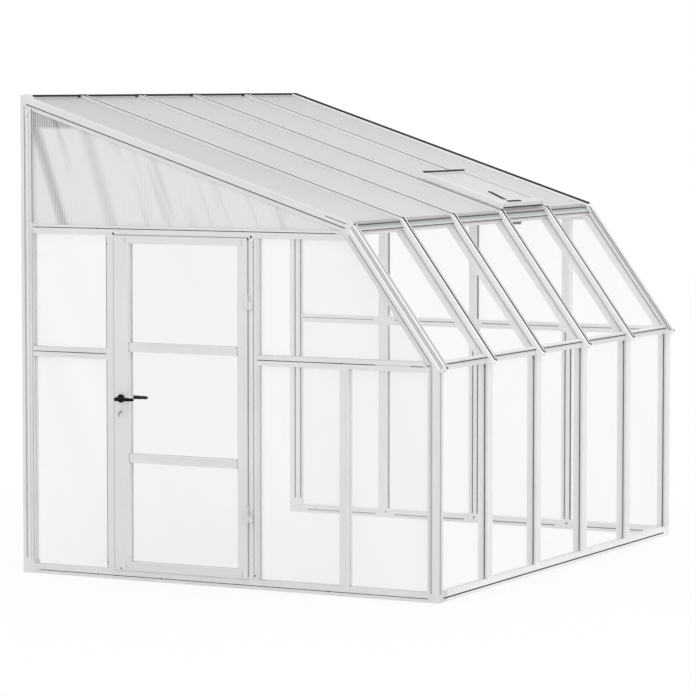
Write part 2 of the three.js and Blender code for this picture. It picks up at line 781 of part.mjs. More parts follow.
function leverBar(from, to) {
  const points = [];
  const steps = 10;
  for (let i = 0; i <= steps; i++) {
    const turn = Math.PI / 2 + (Math.PI * i) / steps;
    points.push([spindleDeep + leverHub * Math.cos(turn), spindleHeight + leverHub * Math.sin(turn)]);
  }
  const tipDeep = spindleDeep + leverReach - leverTip;
  for (let i = 0; i <= steps; i++) {
    const turn = -Math.PI / 2 + (Math.PI * i) / steps;
    points.push([tipDeep + leverTip * Math.cos(turn), spindleHeight + leverTip * Math.sin(turn)]);
  }
  return across(points, from, to).solid();
}
function outerLever() {
  const face = leafOut - fitGap;
  const barIn = leafOut - leverOff;
  return joined(
    acrossRound(roseRadius, spindleDeep, spindleHeight, face - roseThick, face),
    acrossRound(neckRadius, spindleDeep, spindleHeight, barIn - overrun, face),
    leverBar(barIn - leverThick, barIn),
    aboutSpindle(spindleSide / 2, face - overrun, leafIn + leverOff / 2),
  );
}
function innerLever() {
  const face = leafIn + fitGap;
  const barOut = leafIn + leverOff;
  const whole = joined(
    acrossRound(roseRadius, spindleDeep, spindleHeight, face, face + roseThick),
    acrossRound(neckRadius, spindleDeep, spindleHeight, face, barOut + overrun),
    leverBar(barOut, barOut + leverThick),
  );
  const socketEnd = leafIn + leverOff / 2 + fitGap;
  return without(whole, aboutSpindle(spindleSide / 2 + fitGap, face - overrun, socketEnd));
}
const boltBlock = (deepFrom, deepTo, margin) =>
  across(
    rect(deepFrom, deepTo, spindleHeight - boltHalf - margin, spindleHeight + boltHalf + margin),
    boltDepthFrom - margin,
    boltDepthFrom + boltHalf + boltHalf + margin,
  ).solid();
const latchBolt = () => boltBlock(leafFrom - boltNose, leafFrom - boltNose + boltLength, 0);
const boltPocket = () =>
  boltBlock(leafFrom - overrun, leafFrom - boltNose + boltLength + boltTravel + fitGap, fitGap);
const plugOut = leafOut - bossProud;
function keyedPlug() {
  const plug = acrossRound(plugRadius, lockDeep, lockHeight, plugOut - slotGap, leafIn - bossProud);
  const centreX = plugOut - keyNeck - keyBow;
  const ring = new THREE.CylinderGeometry(keyBow, keyBow, keyThick, roundSides);
  ring.translate(centreX, -lockDeep, lockHeight - keyDrop);
  const hole = new THREE.CylinderGeometry(keyHole, keyHole, keyThick + overrun, roundSides);
  hole.translate(centreX, -lockDeep, lockHeight - keyDrop - keyHole / 2);
  const neck = [
    [centreX, lockHeight - keyDrop],
    [plugOut, lockHeight - keyHole],
    [plugOut, lockHeight + keyHole],
    [centreX, lockHeight - keyDrop + keyBow],
  ];
  const blade = pushed(neck, X, Z, lockDeep - keyThick / 2, lockDeep + keyThick / 2);
  return joined(plug, without(joined(solidOf(ring), blade), solidOf(hole)));
}
function doorLeaf() {
  const leaf = across(rect(leafFrom, leafTo, leafLow, leafHigh), leafOut, leafIn).solid();
  const windows = windowHeights.map(([low, high]) =>
    across(rect(windowFrom, windowTo, low, high), leafOut - overrun, leafIn + overrun).solid(),
  );
  const whole = joined(
    without(leaf, ...windows, ...doorPanes.map((pane) => pane.seat())),
    acrossRound(bossRadius, lockDeep, lockHeight, leafOut - bossProud, leafOut + overrun),
    ...hingeLows.map(leafHinge),
  );
  return without(
    whole,
    acrossRound(spindleHole, spindleDeep, spindleHeight, leafOut - overrun, leafIn + overrun),
    acrossRound(
      plugRadius + fitGap,
      lockDeep,
      lockHeight,
      leafOut - bossProud - overrun,
      leafIn - bossProud + fitGap,
    ),
    boltPocket(),
  );
}

// Roof vent: a kerb in the sheet's place, and a hinged lid with its bow handle and catch bar.
const ventCentre = ventBay * bayWidth + bayWidth / 2;
const kerbHoleTopLap = 20;
const kerbHoleFootLap = 36;
const kerbHoleFrom = lidFrom + kerbHoleTopLap;
const kerbHoleTo = lidTo - kerbHoleFootLap;
const lidToRib = 37;
const lidHalf = bayWidth / 2 - lidToRib;
const lidOverHole = 38;
const kerbHoleHalf = lidHalf - lidOverHole;
const kerbWall = 10;
const kerbTop = 7.4;
const kerbLining = 34;
const lidUnder = 8;
const lidTop = 38;
const lidBorder = 43;
const lidLowerBorder = 60;
const lidSheetUnder = 22;
const lidSheetLap = 9;
const onRoof = (sFrom, sTo, low, high) => [
  at(roofLine, sFrom, -high),
  at(roofLine, sTo, -high),
  at(roofLine, sTo, -low),
  at(roofLine, sFrom, -low),
];
const aroundVent = (points, half) => across(points, ventCentre - half, ventCentre + half);
const ventHingeAbove = 9;
const ventHingeAlong = lidFrom - ventHingeAbove;
const ventHingeOut = 38;
const ventKnuckle = 6.5;
const ventPin = 3;
const ventHingeSpread = 180;
const ventLug = 20;
const ventHingePoint = at(roofLine, ventHingeAlong, -ventHingeOut);
const ventRound = (radius, from, to) => acrossRound(radius, ventHingePoint[0], ventHingePoint[1], from, to);
const ventSides = [-1, 1];
function ventKerb() {
  const wall = aroundVent(
    onRoof(kerbHoleFrom - kerbWall, kerbHoleTo + kerbWall, -kerbLining, kerbTop),
    kerbHoleHalf + kerbWall,
  ).solid();
  const hole = aroundVent(
    onRoof(kerbHoleFrom, kerbHoleTo, -kerbLining - overrun, kerbTop + overrun),
    kerbHoleHalf,
  ).solid();
  const lugs = ventSides.flatMap((side) => {
    const inner = ventCentre + side * ventHingeSpread;
    const outer = inner + side * ventLug;
    const [from, to] = [Math.min(inner, outer), Math.max(inner, outer)];
    const pinTo = inner - side * ventLug;
    return [
      across(
        onRoof(
          ventHingeAlong - ventKnuckle,
          ventHingeAlong + ventKnuckle,
          -sheetOuter - overrun,
          ventHingeOut,
        ),
        from,
        to,
      ).solid(),
      ventRound(ventKnuckle, from, to),
      ventRound(ventPin, Math.min(pinTo, outer), Math.max(pinTo, outer)),
    ];
  });
  return without(joined(kerbSkin.solid(), wall, ...lugs), hole);
}
const lidSheet = across(
  onRoof(
    lidFrom + lidBorder - lidSheetLap,
    lidTo - lidLowerBorder + lidSheetLap,
    lidSheetUnder,
    lidSheetUnder + sheetThick,
  ),
  ventCentre - lidHalf + lidBorder - lidSheetLap,
  ventCentre + lidHalf - lidBorder + lidSheetLap,
);
const catchAboveFoot = 74;
const catchAlong = lidTo - catchAboveFoot;
const catchOut = -4;
const catchThick = 6;
const catchPin = 3;
const catchOffset = 86;
const catchWide = 9;
const catchLug = 26;
const catchDrop = 108;
const catchToe = 10;
const catchHeel = 35;
const catchPivot = at(roofLine, catchAlong, -catchOut);
function lidFrame() {
  const frame = aroundVent(onRoof(lidFrom, lidTo, lidUnder, lidTop), lidHalf).solid();
  const opening = aroundVent(
    onRoof(lidFrom + lidBorder, lidTo - lidLowerBorder, lidUnder - overrun, lidTop + overrun),
    lidHalf - lidBorder,
  ).solid();
  const knuckles = ventSides.map((side) => {
    const outer = ventCentre + side * (ventHingeSpread - fitGap);
    const inner = outer - side * (ventLug + ventLug);
    const [from, to] = [Math.min(inner, outer), Math.max(inner, outer)];
    const profile = onRoof(ventHingeAlong, lidFrom + overrun, ventHingeOut - ventKnuckle, lidTop);
    const tongue = across(profile, from, to);
    const boreEnds = [inner + side * (ventLug - fitGap), outer + side * fitGap];
    return without(
      joined(ventRound(ventKnuckle, from, to), tongue.solid()),
      ventRound(ventPin + fitGap, Math.min(...boreEnds), Math.max(...boreEnds)),
    );
  });
  const lugFrom = ventCentre + catchOffset;
  const lug = across(
    onRoof(catchAlong - catchWide, catchAlong + catchLug, catchOut - catchWide, lidUnder + overrun),
    lugFrom,
    lugFrom + catchThick,
  );
  const peg = acrossRound(catchPin, ...catchPivot, lugFrom - catchThick - fitGap, lugFrom + fitGap);
  return joined(without(frame, opening, lidSheet.seat()), ...knuckles, lug.solid(), peg);
}
const bowFootRoom = 73;
const bowSpan = 165;
const bowTo = lidTo - bowFootRoom;
const bowFrom = bowTo - bowSpan;
const bowBellyShare = 0.68;
const bowBelly = bowFrom + bowSpan * bowBellyShare;
const bowDip = 28;
const bowRadius = 5;
const bowFoot = 9;
function bowHandle() {
  const under = lidSheetUnder - fitGap;
  const spot = (s, out) => {
    const [deep, height] = at(roofLine, s, -out);
    return new THREE.Vector3(ventCentre, -deep, height);
  };
  const path = new THREE.CatmullRomCurve3([
    spot(bowFrom, under - bowRadius),
    spot(bowFrom + (bowBelly - bowFrom) / 2, under - bowDip / 2 - bowRadius),
    spot(bowBelly, under - bowDip),
    spot(bowTo, under - bowRadius),
  ]);
  const ring = new THREE.Shape();
  ring.absarc(0, 0, bowRadius, 0, Math.PI * 2);
  const tube = new THREE.ExtrudeGeometry(ring, {
    extrudePath: path,
    steps: 20,
    curveSegments: 10,
    bevelEnabled: false,
  });
  const foot = (s) =>
    across(
      onRoof(s - bowFoot, s + bowFoot, under - bowRadius - bowRadius, under),
      ventCentre - bowFoot,
      ventCentre + bowFoot,
    ).solid();
  return joined(solidOf(tube), foot(bowFrom), foot(bowTo));
}
function catchBar() {
  const from = ventCentre + catchOffset - catchThick - fitGap;
  const half = catchWide / 2;
  const footLow = catchPivot[1] - catchDrop;
  const [deep, height] = catchPivot;
  const upper = across(
    [
      [deep - catchWide, height],
      [deep, height + catchWide],
      [deep + catchWide, height],
      [deep + half, footLow + catchWide],
      [deep + catchToe, footLow + catchWide],
      [deep + catchToe, footLow],
      [deep - catchHeel, footLow],
      [deep - catchHeel, footLow + catchWide],
      [deep - half, footLow + catchWide],
    ],
    from - catchThick,
    from,
  );
  const hole = acrossRound(catchPin + fitGap, ...catchPivot, from - catchThick - overrun, from + overrun);
  return without(upper.solid(), hole);
}

// Colours as photographed, one material for each kind of piece
const finishes = {
  frame: { color: 0xf1f3f3, roughness: 0.45, metalness: 0 },
  clear: { color: 0xf4f6f6, roughness: 0.08, metalness: 0, transparent: true, opacity: 0.25 },
  sheet: { color: 0xdde0df, roughness: 0.5, metalness: 0, transparent: true, opacity: 0.8 },
  black: { color: 0x141414, roughness: 0.5, metalness: 0 },
  steel: { color: 0xa9abac, roughness: 0.35, metalness: 1 },
};

const house = new THREE.Group();
house.name = "lean_to_greenhouse";
function addMesh(name, solid, finish) {
  const { vertProperties, triVerts } = solid.getMesh();
  const geometry = new THREE.BufferGeometry();
  geometry.setAttribute("position", new THREE.BufferAttribute(new Float32Array(vertProperties), 3));
  geometry.setIndex(new THREE.BufferAttribute(new Uint32Array(triVerts), 1));
  geometry.computeVertexNormals();
  const mesh = new THREE.Mesh(geometry, new THREE.MeshStandardMaterial(finishes[finish]));
  mesh.name = name;
  house.add(mesh);
}

addMesh("base_rail_front", baseFront(), "frame");
for (let i = 1; i < bayCount; i++) {
  addMesh("inner_rib_" + i, without(innerRib(i * bayWidth), ...longSeats), "frame");
}
for (const gable of Object.keys(gables)) {
  addMesh("base_rail_" + gable, baseGable(gable), "frame");
  addMesh("end_rib_" + gable, endRib(gable), "frame");
  addMesh("rear_post_" + gable, rearPost(gable), "frame");
  addMesh("gable_rail_" + gable, gableRail(gable), "frame");
}
addMesh("ridge_rail", railsBetween(ridgeRail), "frame");
addMesh("knee_rail", railsBetween(kneeRail), "frame");
addMesh("eave_rail", railsBetween(eaveRail), "frame");
addMesh("left_middle_rail", leftMidRail(), "frame");
addMesh("right_middle_rail", rightMidRail(), "frame");
addMesh("far_gable_posts", farLattice(), "frame");
addMesh("door_jamb_latch", latchJamb(), "frame");
addMesh("door_jamb_hinge", hingeJamb(), "frame");
for (const [name, pane] of Object.entries({ ...longPanes, ...nearPanes, ...farPanes })) {
  addMesh(name, pane.solid(), name.includes("sheet") ? "sheet" : "clear");
}
addMesh("door_leaf", doorLeaf(), "frame");
doorPanes.forEach((pane, i) => addMesh("door_pane_" + (i + 1), pane.solid(), "clear"));
addMesh("outer_lever", outerLever(), "black");
addMesh("inner_lever", innerLever(), "black");
addMesh("latch_bolt", latchBolt(), "steel");
addMesh("lock_plug_key", keyedPlug(), "steel");
addMesh("vent_kerb", ventKerb(), "frame");
addMesh("vent_lid_frame", lidFrame(), "frame");
addMesh("vent_lid_sheet", lidSheet.solid(), "sheet");
addMesh("vent_bow_handle", bowHandle(), "black");
addMesh("vent_catch_bar", catchBar(), "black");

// The origin is the centre of the footprint: the outer lever or key reaches furthest out of the door gable,
// the slanted caps' tips reach furthest in front, and the rear posts' back faces stand on the wall's plane.
const leverOutermost = leafOut - leverOff - leverThick;
const tipDeepest = at(slantLine, tipLength, 0)[0];
house.position.set(-(leverOutermost + houseLength) / 2, tipDeepest / 2, 0);
house.updateMatrixWorld(true);

export default house;
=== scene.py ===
# %% [markdown]
# # A lean-to greenhouse, dressed for its picture
#
# The greenhouse is a frame of white extruded bars that holds clear panes, with milky twin-wall sheets on
# its roof and in the points of its gables. The bars, the panes, the door and the roof vent are already
# solid parts in a shared frame, so this script never moves them. It gives each one its surface, adds the
# thin pieces that only the eye needs, such as gaskets, seals, screws, end strips and strips of painted
# light and shade, and sets up a pale studio with a long lens.

# %% Load the frame
import math

import bmesh
import bpy
import numpy as np
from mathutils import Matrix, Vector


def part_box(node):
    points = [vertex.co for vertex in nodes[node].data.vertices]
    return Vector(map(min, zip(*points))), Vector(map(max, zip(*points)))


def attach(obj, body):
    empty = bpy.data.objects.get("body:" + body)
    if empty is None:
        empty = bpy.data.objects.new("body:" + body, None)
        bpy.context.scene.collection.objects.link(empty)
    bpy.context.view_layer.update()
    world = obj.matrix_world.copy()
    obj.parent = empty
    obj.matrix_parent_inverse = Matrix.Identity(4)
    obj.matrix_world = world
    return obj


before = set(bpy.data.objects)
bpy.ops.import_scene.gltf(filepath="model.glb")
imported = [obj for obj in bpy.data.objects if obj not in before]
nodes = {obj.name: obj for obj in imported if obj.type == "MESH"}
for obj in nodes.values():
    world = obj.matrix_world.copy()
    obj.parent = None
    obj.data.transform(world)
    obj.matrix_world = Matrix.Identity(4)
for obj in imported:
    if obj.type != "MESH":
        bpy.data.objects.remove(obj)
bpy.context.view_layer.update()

# %% [markdown]
# ## Places on the house
#
# The sizes that the pieces below share are read from the frame's own boxes, or are the sizes of the bars'
# profile. "Across" runs from the door gable to the far gable, "out" runs from the house wall to the
# front.

# %% Shared places and sizes
near_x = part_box("end_rib_near")[0][0]
far_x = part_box("end_rib_far")[1][0]
wall_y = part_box("rear_post_near")[1][1]
bay_count = 5
house_long = far_x - near_x
bay_width = house_long / bay_count
front_out = wall_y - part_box("base_rail_front")[0][1]
ridge_up = 2.678
slant_reach = 0.528
knee_out = front_out - slant_reach
roof_angle = math.radians(18.03)
slant_angle = math.radians(53.74)
tip_length = 0.9475
cap_half = 0.028
rib_places = [bay_width * k for k in range(1, bay_count)]
print("length", round(house_long, 3), "depth", round(front_out, 3))

# %% [markdown]
# A place on the house is given as three distances: across from the door gable, out from the wall, and up
# from the ground. The outline of the glazing is two lines, the roof and the slant, that meet at the knee.
# A point on either line is found from how far along it lies and how far it is lifted outdoors. Typed
# coordinates would do the same work, but these distances can be checked with a tape measure on the real
# house.

# %% Roof line and slant line
ACROSS = np.array([1.0, 0.0, 0.0])
OUTWARDS = np.array([0.0, -1.0, 0.0])
UPWARDS = np.array([0.0, 0.0, 1.0])
ALONG_ROOF = np.array([math.cos(roof_angle), -math.sin(roof_angle)])
OUT_OF_ROOF = np.array([math.sin(roof_angle), math.cos(roof_angle)])
ALONG_SLANT = np.array([math.cos(slant_angle), -math.sin(slant_angle)])
OUT_OF_SLANT = np.array([math.sin(slant_angle), math.cos(slant_angle)])
RIDGE = np.array([0.0, ridge_up])
knee_along = knee_out / math.cos(roof_angle)
KNEE = RIDGE + ALONG_ROOF * knee_along


def spot(across, out, up):
    """House distances to the shared frame's coordinates, in metres."""
    return np.array([near_x + across, wall_y - out, up])


def facing(direction):
    """An (out, up) direction as a direction of the shared frame."""
    return np.array([0.0, -direction[0], direction[1]])


def on_roof(along, lift=0.0):
    """(out, up) of a point on the roof line, lifted outdoors."""
    return RIDGE + ALONG_ROOF * along + OUT_OF_ROOF * lift


def on_slant(along, lift=0.0):
    """(out, up) of a point on the slant line below the knee, lifted outdoors."""
    return KNEE + ALONG_SLANT * along + OUT_OF_SLANT * lift


def in_gable(across, outline):
    """Points of an (out, up) outline at one distance across."""
    return [spot(across, out, up) for out, up in outline]


print("knee", np.round(KNEE, 4), "tip", np.round(on_slant(tip_length), 4))

# %% [markdown]
# ## Camera
#
# The photograph was taken from far away with a long lens, so its lines hardly converge. The camera could
# be aimed at a target, but its place and two angles say the same in plain numbers: it stands where the
# photograph's own lines say it stood, 62.5 degrees round from the front, looking 4.4 degrees down.

# %% Camera
lens_mm = 181.55
sensor_mm = 36
camera_place = (-18.124, -9.3588, 2.762)
looks_down = 4.367
turned = -62.509
sees_to = 200
camera_data = bpy.data.cameras.new("camera")
camera_data.sensor_width = sensor_mm
camera_data.lens = lens_mm
camera_data.clip_end = sees_to
camera = bpy.data.objects.new("camera", camera_data)
camera.location = camera_place
camera.rotation_euler = (math.radians(90 - looks_down), 0, math.radians(turned))
bpy.context.collection.objects.link(camera)
bpy.context.scene.camera = camera
field = 2 * math.degrees(math.atan(sensor_mm / 2 / lens_mm))
camera_away = float(np.linalg.norm(camera_place))
print("camera sees", round(field, 2), "degrees from", round(camera_away, 2), "m away")

# %% [markdown]
# ## Materials
#
# Every material starts from one small helper that wires nodes to a Principled shader. Patterns use object
# coordinates, which on these parts are real metres, so a pattern keeps its real size on every piece.

# %% Material helpers
materials = {}


def new_material(name, color, roughness, **inputs):
    """A Principled material with plain values on its sockets. A pattern fed later takes a value's place."""
    material = bpy.data.materials.new(name)
    material.use_nodes = True
    materials[name] = material
    shader = material.node_tree.nodes["Principled BSDF"]
    shader.inputs["Base Color"].default_value = (*color, 1)
    shader.inputs["Roughness"].default_value = roughness
    for key, value in inputs.items():
        shader.inputs[key.replace("_", " ")].default_value = value
    return material.node_tree, shader


def add(tree, kind, **settings):
    """A node of that kind, with its settings and its input values set by name."""
    node = tree.nodes.new(kind)
    for key, value in settings.items():
        if key in node.inputs:
            node.inputs[key].default_value = value
        else:
            setattr(node, key, value)
    return node


def feed(tree, node, **sources):
    """Link each source to the node's input of that name, where _ stands for a space."""
    for label, source in sources.items():
        tree.links.new(source, node.inputs[label.replace("_", " ")])
    return node


print("materials so far:", len(materials))

# %% [markdown]
# Three more helpers save wiring. A colour could be fed straight from noise, but a ramp says in numbers
# which noise value gives which grey, and a bump node makes a surface look rough without a single extra
# face.

# %% Maths, ramps and bumps
def math_node(tree, operation, *values):
    """A math node on links or plain values, in their order."""
    node = add(tree, "ShaderNodeMath", operation=operation)
    for socket, value in zip(node.inputs, values):
        if isinstance(value, (int, float)):
            socket.default_value = value
        else:
            tree.links.new(value, socket)
    return node.outputs[0]


def ramp(tree, value, stops):
    """A colour ramp through (position, grey) stops."""
    node = add(tree, "ShaderNodeValToRGB")
    elements = node.color_ramp.elements
    middle = 0.5
    while len(elements) < len(stops):
        elements.new(middle)
    for element, (position, grey) in zip(elements, stops):
        element.position = position
        element.color = (grey, grey, grey, 1)
    feed(tree, node, Fac=value)
    return node.outputs["Color"]


def bump(tree, shader, height, distance, strength):
    """Make the surface look raised by height * distance, in metres, as far as strength allows."""
    node = feed(tree, add(tree, "ShaderNodeBump", Distance=distance, Strength=strength), Height=height)
    feed(tree, shader, Normal=node.outputs["Normal"])


helpers = (new_material, add, feed, math_node, ramp, bump)
print("helpers:", ", ".join(helper.__name__ for helper in helpers))

# %% [markdown]
# ## Shared effects
#
# Some effects come back in several finishes: soft clouding, fine grain, the hollows of the sheets, the
# light's leaning streaks, and a shade that grows from one line to another. Each could be wired anew in
# every material, but a node group with named inputs keeps one recipe and lets each material set its own
# values.

# %% Node groups and how they are placed
groups = {}


def new_group(name, output, **inputs):
    """An empty node group: its inputs with their usual values, and one output for a plain value."""
    group = bpy.data.node_groups.new(name, "ShaderNodeTree")
    groups[name] = group
    for label, usual in inputs.items():
        kind = "NodeSocketVector" if isinstance(usual, tuple) else "NodeSocketFloat"
        group.interface.new_socket(name=label, in_out="INPUT", socket_type=kind).default_value = usual
    group.interface.new_socket(name=output, in_out="OUTPUT", socket_type="NodeSocketFloat")
    return group, add(group, "NodeGroupInput").outputs, add(group, "NodeGroupOutput").inputs[0]


def effect(tree, name, **values):
    """Place a shared group in a material with the material's own values."""
    node = tree.nodes.new("ShaderNodeGroup")
    node.node_tree = groups[name]
    for label, value in values.items():
        node.inputs[label].default_value = value
    return node.outputs[0]


def place_of(tree):
    """The point's own place in real metres."""
    return add(tree, "ShaderNodeTexCoord").outputs["Object"]


def distance_along(group, direction):
    """How far the point lies along a direction: their dot product."""
    dot = add(group, "ShaderNodeVectorMath", operation="DOT_PRODUCT")
    group.links.new(place_of(group), dot.inputs[0])
    group.links.new(direction, dot.inputs[1])
    return dot.outputs["Value"]


print("node groups so far:", len(groups))

# %% [markdown]
# Vinyl and acrylic are never quite even. Clouding is soft noise spread between two values, and grain is
# the same noise made very fine, as a height. Noise could be drawn on a picture, but computed noise has no
# edge and no repeat.

# %% Clouding and grain
thin_cloud, thick_cloud = 0.3, 0.7


def noise(group, given):
    """Noise on real metres, with the group's own Scale and Detail."""
    node = add(group, "ShaderNodeTexNoise")
    feed(group, node, Vector=place_of(group), Scale=given["Scale"], Detail=given["Detail"])
    return node.outputs["Fac"]


def clouding_group():
    """Noise spread from Low (where it is thin) to High (where it is thick)."""
    group, given, result = new_group("clouding", "Value", Scale=4.0, Detail=3.0, Low=0.5, High=1.0)
    spread = add(group, "ShaderNodeMapRange")
    spread.inputs["From Min"].default_value = thin_cloud
    spread.inputs["From Max"].default_value = thick_cloud
    feed(group, spread, Value=noise(group, given), To_Min=given["Low"], To_Max=given["High"])
    group.links.new(spread.outputs["Result"], result)


def grain_group():
    """Very fine noise, as a height."""
    group, given, result = new_group("grain", "Height", Scale=900.0, Detail=1.0)
    group.links.new(noise(group, given), result)


clouding_group()
grain_group()
print("node groups:", ", ".join(groups))

# %% [markdown]
# The panes carry the light's leaning streaks, the twin-wall sheets are rows of square hollows, and a
# shade often grows from one line of the house to another. Streaks are noise in leaning, stretched axes.
# The hollows are a cosine wave along one axis, and a place between two lines is a dot product scaled to
# 0..1.

# %% Streaks, flutes and places
light_lean = math.radians(-21)
flute_pitch = 0.0115


def streaks_group():
    """Noise in axes that lean with the light, each axis divided by its own stretch."""
    group, given, result = new_group("streaks", "Value", Stretch=(1.0, 1.0, 1.0), Detail=1.0)
    lean = add(group, "ShaderNodeMapping", vector_type="TEXTURE", Rotation=(light_lean, 0, 0))
    feed(group, lean, Vector=place_of(group), Scale=given["Stretch"])
    streak = add(group, "ShaderNodeTexNoise", Scale=1.0)
    feed(group, streak, Vector=lean.outputs["Vector"], Detail=given["Detail"])
    group.links.new(streak.outputs["Fac"], result)


def flutes_group():
    """Even bands, one for each hollow: 0.5 - 0.5 * cos(2 pi * distance along the axis / pitch)."""
    group, given, result = new_group("flutes", "Band", Axis=(1.0, 0.0, 0.0), Pitch=0.01)
    turns = math_node(group, "DIVIDE", distance_along(group, given["Axis"]), given["Pitch"])
    wave = math_node(group, "COSINE", math_node(group, "MULTIPLY", turns, 2 * math.pi))
    half_wave = math_node(group, "MULTIPLY", wave, 0.5)
    group.links.new(math_node(group, "SUBTRACT", 0.5, half_wave), result)


def place_group():
    """Where the point lies between two lines: its distance along a direction, 0 at Start and 1 at End."""
    group, given, result = new_group("place", "Place", Direction=(0.0, 0.0, 1.0), Start=0.0, End=1.0)
    scaled = feed(group, add(group, "ShaderNodeMapRange"), From_Min=given["Start"], From_Max=given["End"])
    feed(group, scaled, Value=distance_along(group, given["Direction"]))
    group.links.new(scaled.outputs["Result"], result)


streaks_group()
flutes_group()
place_group()
print("node groups:", ", ".join(groups))

# %% [markdown]
# ## Finishes
#
# The bars are satin white vinyl. One plain white would do, but then every bar would look cut from the
# same card. So the colour and the gloss drift a little over a bar's length, and a very fine grain breaks
# the reflections. The bars behind the panes stand against more light and look whiter, so they get a
# lighter copy of the same vinyl, which is painted light.

# %% White extruded bar
def white_bar(name, low, high):
    """Satin white vinyl: nearly even, with faint clouding, soft gloss changes and a fine grain."""
    tree, shader = new_material(name, (high, high, high), roughness=0.38)
    feed(tree, shader, Base_Color=effect(tree, "clouding", Scale=2.6, Detail=4.0, Low=low, High=high))
    feed(tree, shader, Roughness=effect(tree, "clouding", Scale=9.0, Low=0.33, High=0.45))
    bump(tree, shader, effect(tree, "grain"), distance=0.0002, strength=0.15)


white_bar("white_bar", low=0.72, high=0.77)
# A lighter copy of the bars' vinyl for the bars behind the panes: painted light.
white_bar("painted_light_bar", low=0.9, high=0.95)
print("bar finishes:", list(materials))

# %% [markdown]
# A pane could be glass with transmission, but the real ones are thin acrylic under a milky film, and a
# mostly transparent surface shows that better: its alpha is the film's haze. A pane has two faces, so the
# haze counts twice.

# %% Clear pane
def clear_pane(name, haze, grey):
    """Thin clear acrylic behind a milky film: its alpha is the haze, and slanting streaks of painted
    reflection vary it.
    """
    tree, shader = new_material(name, (grey, grey, grey), roughness=0.12)
    streaks = effect(tree, "streaks", Stretch=(1.2, 0.25, 2.5))
    thin, thick = 0.42, 0.72
    feed(tree, shader, Alpha=ramp(tree, streaks, [(thin, haze * 0.96), (thick, haze * 1.08)]))
    feed(tree, shader, Base_Color=ramp(tree, streaks, [(thin, grey), (thick, grey * 0.95)]))


clear_pane("front_clear", haze=0.09, grey=0.97)
clear_pane("gable_clear", haze=0.235, grey=0.89)
clear_pane("door_clear", haze=0.07, grey=0.25)
print("finishes so far:", len(materials))

# %% [markdown]
# The roof sheets are twin-wall: two skins with a row of hollows between them. Modelling every hollow
# would cost many triangles for lines finer than the eye sees from here, so a band of alpha and a slight
# bump stand for each hollow. The photograph shows the sheets darker towards the ridge, so a ramp of greys
# follows the distance out: painted shade.

# %% Roof sheets
def roof_sheet(name, grey, alpha):
    """Milky twin-wall roof sheet: nearly even grey, with painted shade at the ridge and a little at the
    knee.
    """
    tree, shader = new_material(name, (grey, grey, grey), roughness=0.42)
    bands = effect(tree, "flutes", Pitch=flute_pitch)
    house_depth = effect(tree, "place", Direction=tuple(OUTWARDS), Start=-wall_y, End=front_out - wall_y)
    end_shades = [(0.0, 0.8), (0.1, 0.88), (0.35, 0.92), (0.62, 0.96), (0.76, 1.0), (0.8, 0.96)]
    ends = ramp(tree, house_depth, end_shades)
    clouds = effect(tree, "clouding", Scale=1.2, Low=grey * 0.97, High=grey * 1.03)
    feed(tree, shader, Base_Color=math_node(tree, "MULTIPLY", ends, clouds))
    hollow_thinner = 0.05
    feed(tree, shader, Alpha=ramp(tree, bands, [(0.0, alpha), (1.0, alpha - hollow_thinner)]))
    bump(tree, shader, bands, distance=0.0005, strength=0.2)


roof_sheet("roof_sheet", grey=0.68, alpha=0.96)
# A darker copy of the sheet for the near bay: painted shade.
roof_sheet("near_sheet_painted_shade", grey=0.64, alpha=0.96)
roof_sheet("lid_sheet", grey=0.74, alpha=0.93)
print("finishes so far:", len(materials))

# %% [markdown]
# The gable's triangle is the same twin-wall sheet stood upright, and here the photograph shows its
# flutes: their contrast comes and goes, two darker streaks of painted shade lean across them, and the top
# corner by the wall lies in shade, painted too. The stronger of streak and corner is added to the flutes'
# own contrast, and the sum is drawn more strongly in the hollows than between them. A painted picture
# could hold all of it, but then it wouldn't follow a change of size.

# %% Gable sheet
def streak_shade(tree):
    """Painted shade in two streaks that lean across the sheet, each a few stops of the place between two
    leaning lines.
    """
    first_line, last_line, rise_per_metre = 0.817, 1.317, 0.33
    sloping = (0, -1, rise_per_metre)
    lean = effect(tree, "place", Direction=sloping, Start=first_line - wall_y, End=last_line - wall_y)
    first_streak = [(0.1, 0.0), (0.15, 0.3), (0.21, 0.42), (0.29, 0.0)]
    second_streak = [(0.72, 0.0), (0.82, 0.2), (0.88, 0.14), (0.94, 0.0)]
    return ramp(tree, lean, first_streak + second_streak)


def corner_shade(tree):
    """The shaded corner under the ridge: a place by height times a place by distance from the wall."""
    shade_low, shade_high, shade_near, shade_gone = 2.47, 2.52, 0.3, 0.4
    by_height = ramp(tree, effect(tree, "place", Start=shade_low, End=shade_high), [(0.3, 0.0), (0.7, 0.44)])
    near, gone = shade_near - wall_y, shade_gone - wall_y
    by_distance = effect(tree, "place", Direction=tuple(OUTWARDS), Start=near, End=gone)
    from_wall = ramp(tree, by_distance, [(0.1, 1.0), (0.9, 0.0)])
    return math_node(tree, "MULTIPLY", by_height, from_wall)


